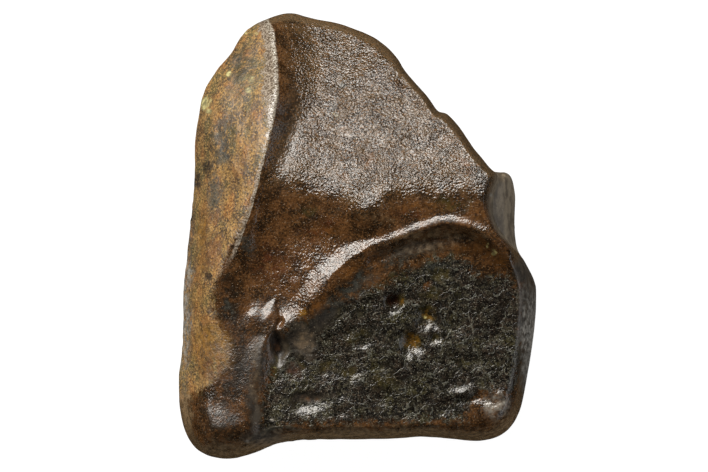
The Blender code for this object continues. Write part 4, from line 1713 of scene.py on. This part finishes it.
@dataclass(frozen=True)
class Lamp:
    """A soft rectangular light that faces the tooth and doesn't show itself."""

    name: str
    place: Triple
    size: Pair
    watts: float
    colour: Colour

    def hang(self, target: Triple) -> None:
        """Adds the light, aimed at a target.

        Args:
            target: The place that it faces, in metres.
        """
        data = bpy.data.lights.new(self.name, "AREA")
        data.shape = "RECTANGLE"
        data.size, data.size_y = self.size
        data.energy = self.watts
        data.color = self.colour
        lamp = bpy.data.objects.new(self.name, data)
        bpy.context.scene.collection.objects.link(lamp)
        lamp.location = self.place
        aim = Vector(target) - Vector(self.place)
        lamp.rotation_euler = aim.to_track_quat("-Z", "Y").to_euler()
        lamp.visible_camera = False


@dataclass(frozen=True)
class Studio:
    """A pale floor, a large soft light from beyond the tip, a weak fill and the camera above."""

    floor_size: float = 3.0
    floor_grey: float = 0.10
    floor_roughness: float = 0.9
    floor_glow: float = 0.98
    key: Lamp = Lamp("key_light", (-0.10, 0.185, 0.16), (0.29, 0.09), 1.42, (1.0, 0.955, 0.890))
    fill: Lamp = Lamp("fill_light", (0.26, -0.06, 0.07), (0.30, 0.10), 0.14, WHITE)
    target: Triple = (0.0, 0.0, 0.008)
    surroundings: float = 0.24
    camera_height: float = 0.60
    focus_height: float = 0.0048
    sensor: float = 36.0
    clip: Pair = (0.01, 10.0)
    millimetres_per_pixel: float = 25.0 / 447.0
    photo_centre: Pair = (-0.196, -0.028)

    def floor(self) -> bpy.types.Object:
        """The pale surface that the tooth lies on.

        Returns:
            The floor.
        """
        half = self.floor_size / 2
        data = bpy.data.meshes.new("floor")
        corners = [(-half, -half, 0), (half, -half, 0), (half, half, 0), (-half, half, 0)]
        data.from_pydata(corners, [], [(0, 1, 2, 3)])
        looks = {
            "Base Color": (self.floor_grey,) * 3,
            "Roughness": self.floor_roughness,
            "Emission Color": WHITE,
            "Emission Strength": self.floor_glow,
        }
        data.materials.append(Graph("floor_white").finished(looks))
        floor = bpy.data.objects.new("floor", data)
        bpy.context.scene.collection.objects.link(floor)
        floor.visible_glossy = False
        return floor

    def light(self) -> None:
        """Lights the scene."""
        self.key.hang(self.target)
        self.fill.hang(self.target)
        world = bpy.data.worlds.new("studio")
        bpy.context.scene.world = world
        world.use_nodes = True
        background = world.node_tree.nodes["Background"]
        background.inputs["Color"].default_value = (*WHITE, 1.0)
        background.inputs["Strength"].default_value = self.surroundings
        world.cycles_visibility.glossy = False

    def camera(self) -> bpy.types.Object:
        """The camera straight above, framed as the photograph is.

        Returns:
            The camera.
        """
        data = bpy.data.cameras.new("camera")
        width = PHOTO_WIDTH * self.millimetres_per_pixel * MM
        data.sensor_width = self.sensor
        data.lens = self.sensor * self.camera_height / width
        data.clip_start, data.clip_end = self.clip
        camera = bpy.data.objects.new("camera", data)
        bpy.context.scene.collection.objects.link(camera)
        x, y = self.photo_centre
        camera.location = (x * MM, y * MM, self.camera_height + self.focus_height)
        bpy.context.scene.camera = camera
        return camera


def main() -> None:
    """Builds the tooth on its frame, dresses it and sets up the studio."""
    logging.basicConfig(level=logging.INFO, format="%(name)s: %(message)s")
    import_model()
    tooth = Tooth().build()
    tooth.data.materials.append(FossilFinish().material())
    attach(tooth, "root")
    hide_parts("tooth")
    log.info("%s: %d faces", tooth.name, len(tooth.data.polygons))
    studio = Studio()
    studio.floor()
    studio.light()
    studio.camera()
    bpy.context.scene.view_settings.view_transform = "Standard"


if __name__ == "__main__":
    main()
